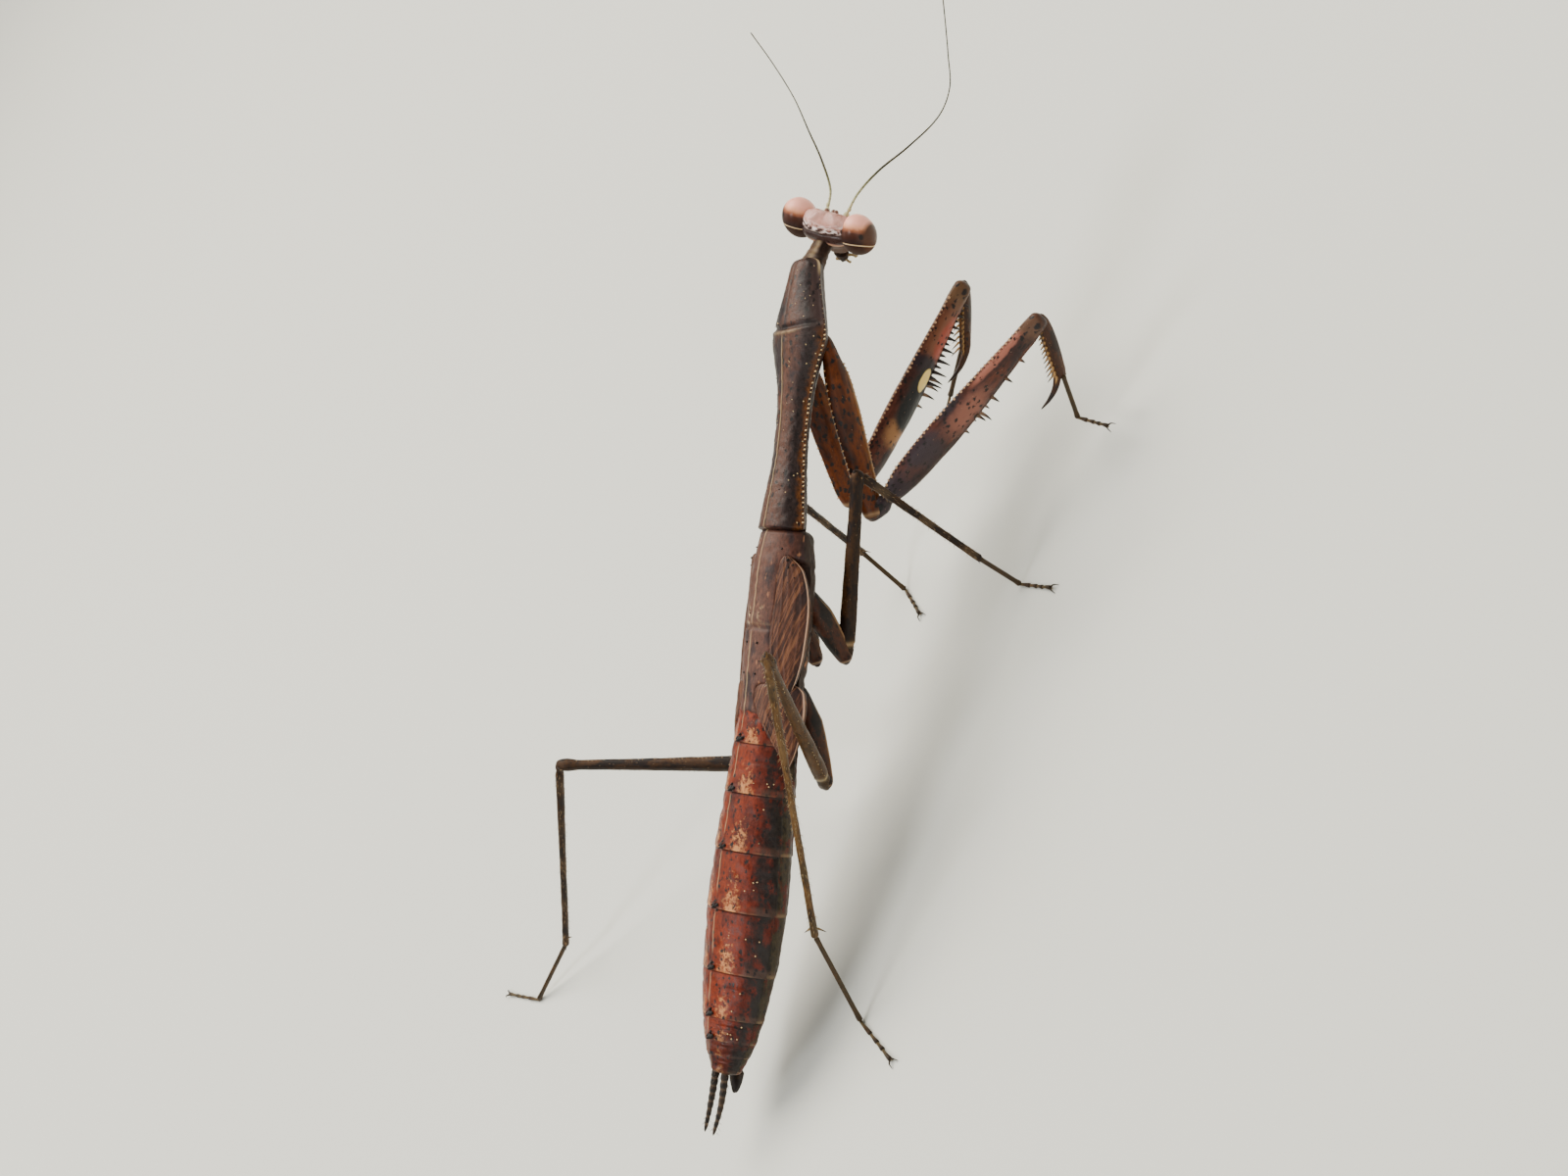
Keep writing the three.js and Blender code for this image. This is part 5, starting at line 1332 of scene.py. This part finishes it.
def clasping_thigh_piece(name, size, place, outward, slot):
    bm = form()
    length, outline = tube = (size["femur"], FORE_FEMUR)

    def shape(t, angle, along):
        neck_ring = -0.1 * hump(t, 0.085, 0.014) + 0.04 * hump(t, 0.045, 0.02)
        ridge = 0.06 * hump(angle, 0, 0.12) * smooth(0.1, 0.16, t) * smooth(1.0, 0.93, t)
        sole = -0.1 * hump(abs(angle), math.pi, 0.25) * smooth(0.3, 0.5, t)
        rails = 0.06 * hump(abs(angle), 2.55, 0.14) * smooth(0.3, 0.5, t) * smooth(0.97, 0.9, t)
        lobes = 0.1 * hump(abs(angle), 1.57, 0.45) * hump(t, 0.975, 0.025)
        return neck_ring + ridge + sole + rails + lobes

    def marks(t, angle, along):
        ring = 0.55 * hump(t, 0.085, 0.012)
        knee = 0.8 * hump(t, 0.972, 0.008) * hump(angle * outward, 1.35, 0.2)
        return (0.35 * hump(t, 0.1, 0.01), max(ring, knee), 0)

    limb(bm, length, outline, 60, 190, shape, marks, over=(0.35, 0.2))
    for i in range(EDGE_BEADS):
        y = blend(0.13, 0.92, i / (EDGE_BEADS - 1)) * length
        angle, big = chance.uniform(-0.06, 0.06), chance.uniform(0.8, 1.25)
        spine(bm, tube, y, angle, 0.11 * big, 0.09 * big, 1.05, 0.2, steps=5, marks=(0.75, 0, 0))
        spine(bm, tube, y + 0.15, 0.13, 0.03, 0.05, 1.02, steps=4, sides=6, marks=(0, 0.9, 0))
    # The inner row, long and short spines by turns, then the outer row and those on the sole.
    for i in range(INNER_SPINES):
        t = blend(0.58, 0.93, i / (INNER_SPINES - 1))
        reach = (0.95 if i % 2 == 0 else 0.48) * blend(1.0, 0.42, smooth(0.6, 0.93, t))
        spine(bm, tube, t * length, -2.5 * outward, reach, 0.13, 0.95, 0.22, 0.1, steps=7,
              marks=(0, 0.75, 0), tip=BLACK)
    for t, reach in OUTER_SPINES:
        spine(bm, tube, t * length, 2.5 * outward, reach, 0.13, 0.95, 0.3, 0.15, steps=7,
              marks=(0.15, 0.1, 0), tip=(0, 0.95, 0))
    for t, angle, reach in SOLE_SPINES:
        spine(bm, tube, t * length, -angle * outward, reach, 0.14, 0.92, 0.3, 0.2, steps=8,
              sides=9, marks=(0.2, 0.1, 0), tip=(0, 0.95, 0))
    for i in range(44):
        spine(bm, tube, chance.uniform(0.3, 0.92) * length, 2.4 * outward,
              chance.uniform(0.05, 0.11), 0.03, steps=4, sides=5, marks=(0, 0.9, 0))
    hairs(bm, tube, 70, 0.12)
    finish = right_arm_chitin if outward > 0 else left_arm_chitin
    settle(bm, f"thigh_{name}", place, finish, slot, f"{name}_femur")


def clasping_shin_piece(name, size, place, outward, slot):
    bm = form()
    length, outline = tube = (size["tibia"], FORE_TIBIA)

    def shape(t, angle, along):
        return (0.03 * hump(abs(angle), 0.5, 0.2) - 0.04 * hump(angle, 0, 0.2)) \
            * smooth(0.05, 0.2, t)

    limb(bm, length, outline, 36, 70, shape, over=(0.3, 0.05))
    inner = -0.16 * outward
    claw = curved([(inner * 0.3, length - 1.3, -0.05), (inner, length - 0.3, -0.05),
                   (inner, length + 0.55, -0.42), (inner, length + 1.05, -0.95),
                   (inner, length + 1.38, -1.62)], 30)
    horn(bm, claw, lambda t: 0.3 * (1 - t) ** 0.75 + 0.015, sides=16, tip=(0, 0.75, 0), flat=0.8)
    for count, side in ((12, -1), (10, 1)):
        for i in range(count):
            t = i / (count - 1)
            spine(bm, tube, blend(0.16, 0.93, t) * length, side * 2.55 * outward,
                  blend(0.25, 0.75, t ** 1.3), 0.075, 0.95, 1.0, marks=(0.5, 0, 0),
                  tip=(0, 0.9, 0))
    hairs(bm, tube, 40, 0.1)
    settle(bm, f"shin_{name}", place, shin_chitin, slot, f"{name}_tibia")


def walking_thigh_piece(name, size, place, slot, material):
    bm = form()
    length, outline = tube = (size["femur"], HIND_FEMUR if size is HIND else MIDDLE_FEMUR)

    def shape(t, angle, along):
        ridges = 0.035 * (hump(angle, 0, 0.2) + hump(abs(angle), 2.4, 0.22))
        knee = 0.05 * hump(abs(angle), 1.57, 0.5) * hump(t, 0.965, 0.02)
        return ridges * smooth(0.0, 0.1, t) - 0.06 * hump(t, 0.075, 0.02) + knee

    def marks(t, angle, along):
        dark = 0.5 * hump(t, 0.07, 0.012) + 0.4 * hump(t, 0.94, 0.01)
        return (0.4 * hump(t, 0.09, 0.015), dark, 0)

    limb(bm, length, outline, 32, 130, shape, marks, over=(0.35, 0.2))
    # Grains along three edges, pale and dark.
    for edge, every in ((0.0, 0.24), (2.4, 0.3), (-2.4, 0.3)):
        for i in range(int(length * 0.84 / every)):
            angle, pale = edge + chance.uniform(-0.06, 0.06), chance.random() < 0.6
            spine(bm, tube, length * 0.1 + every * i, angle, chance.uniform(0.03, 0.08), 0.04,
                  1.04, 0.4, steps=4, sides=6, marks=(0.8, 0, 0) if pale else (0, 0.8, 0))
    for side in (-1, 1):
        spine(bm, tube, length * 0.985, side * 1.9, 0.22, 0.06, lean=0.8, marks=(0.3, 0, 0),
              tip=(0, 0.9, 0))
    hairs(bm, tube, 90, 0.12)
    settle(bm, f"thigh_{name}", place, material, slot, f"{name}_femur")


def walking_shin_piece(name, size, place, slot, material, banded):
    bm = form()
    length, outline = tube = (size["tibia"], TIBIA)

    def shape(t, angle, along):
        edges = hump(abs(angle), 0.7, 0.25) + hump(abs(angle), 2.4, 0.25)
        return 0.02 * edges - 0.05 * hump(t, 0.03, 0.01)

    def marks(t, angle, along):
        pale = 0.15 * banded * smooth(0.2, 0.9, math.sin(along * 1.9 - 1.6))
        return (pale, 0.35 * banded * smooth(0.35, 0.8, math.sin(along * 1.9 + 1)), 0)

    limb(bm, length, outline, 26, int(length * 12), shape, marks, over=(0.32, 0.12))
    for side in (-1, 1):
        spine(bm, tube, length - 0.4, side * 1.9, 0.55, 0.07, lean=0.75, marks=(0.2, 0.1, 0),
              tip=(0, 0.95, 0))
    hairs(bm, tube, int(length * 22), 0.2, shade=0.45, lean=0.9)
    settle(bm, f"shin_{name}", place, material, slot, f"{name}_tibia")


SOLE = 0.11  # height of a foot's axis above what it stands on
BALL = SOLE + 0.055  # height of the end of its first joint
# Where the short joints of a foot start, as shares of their length together, and where they end.
TOE_JOINTS = (-0.05, 0.34, 0.56, 0.74, 1.0)


def foot_piece(name, size, place, ankle, slot):
    """A long first joint from the shin, four short ones along the floor, and two claws."""
    bm = form()
    toes = size["toes"]
    ball = Vector((0, 0.05, SOLE))
    horn(bm, [ankle.lerp(ball, i / 30) for i in range(31)],
         lambda t: 0.135 + 0.03 * smooth(0.85, 0.97, t) + 0.02 * smooth(0.1, 0.0, t), sides=12)
    for start, end in zip(TOE_JOINTS, TOE_JOINTS[1:]):
        a, b = start * toes, end * toes
        rise = 0.05 if end == 1.0 else 0.0
        path = curved([(0, a, SOLE), (0, (a + b) / 2, SOLE + 0.03 + rise),
                       (0, b, SOLE + rise * 0.5)], 14)
        horn(bm, path, lambda t: 0.085 + 0.04 * smooth(0.3, 0.92, t) - 0.03 * smooth(0.92, 1.0, t),
             sides=12, marks=(0.1, 0, 0), tip=(0, 0.35, 0))
        spike(bm, (0, b - 0.06, SOLE - 0.05), (0, 0.8, -1), 0.09, 0.06, steps=4,
              marks=(0.6, 0, 0))
    for side in (-1, 1):
        path = curved([(side * 0.03, toes - 0.08, SOLE), (side * 0.17, toes + 0.2, SOLE + 0.1),
                       (side * 0.27, toes + 0.42, 0.03)], 12)
        horn(bm, path, lambda t: 0.055 * (1 - t) ** 0.7 + 0.006, sides=8, marks=(0, 0.4, 0),
             tip=BLACK)
    for vertex in bm.verts:
        vertex.co.z = max(0.0, vertex.co.z)
    for i in range(36):
        centre = ankle.lerp(ball, chance.uniform(0.05, 0.95))
        angle = chance.uniform(-math.pi, math.pi)
        out = Vector((math.sin(angle), 0.3, math.cos(angle)))
        spike(bm, centre + out * 0.07, out, 0.1, 0.01, steps=4, sides=4, marks=(0.4, 0, 0))
    settle(bm, f"foot_{name}", place, foot_chitin, slot, f"{name}_tarsus")


for name, size, root, coxa, femur, tibia, basitarsus, toes, raised in LEGS:
    fore = size is FORE
    slot = "fore_leg" if fore else "middle_leg" if size is MIDDLE else "hind_leg"
    outward = 1 if name.startswith("right") else -1
    if fore:
        hip = SHIELD @ Vector((root[0], root[1] - SHIELD_REAR, root[2]))
    else:
        hip = TRUNK @ Vector(root)
    hip_along, thigh_along, shin_along = toward(*coxa), toward(*femur), toward(*tibia)
    thigh_start = hip + hip_along * size["coxa"]
    knee = thigh_start + thigh_along * size["femur"]
    ankle = knee + shin_along * size["tibia"]
    # The foot's first joint falls as far as it has to, so that its toes lie level.
    drop = ankle.z - raised - BALL
    fall = -math.degrees(math.asin(min(1, drop / size["basitarsus"])))
    ball = ankle + toward(basitarsus, fall) * size["basitarsus"]
    thigh_place = aimed(thigh_start, thigh_along, -shin_along)
    shin_place = aimed(knee, shin_along, thigh_along)
    foot_place = aimed(Vector((ball.x, ball.y, raised)), toward(toes, 0), UP)
    hip_piece(name, size, aimed(hip, hip_along, UP), outward, slot)
    if fore:
        clasping_thigh_piece(name, size, thigh_place, outward, slot)
        clasping_shin_piece(name, size, shin_place, outward, slot)
        # The foot of a clasping arm hangs beside its claw.
        ankle += shin_place.to_3x3() @ Vector((outward * 0.24, -0.2, 0.05))
    else:
        finish = hind_chitin if name == "right_hind" else leg_chitin
        walking_thigh_piece(name, size, thigh_place, slot, finish)
        walking_shin_piece(name, size, shin_place, slot, finish, 0.2 if size is HIND else 0.45)
    foot_piece(name, size, foot_place, foot_place.inverted() @ ankle, slot)
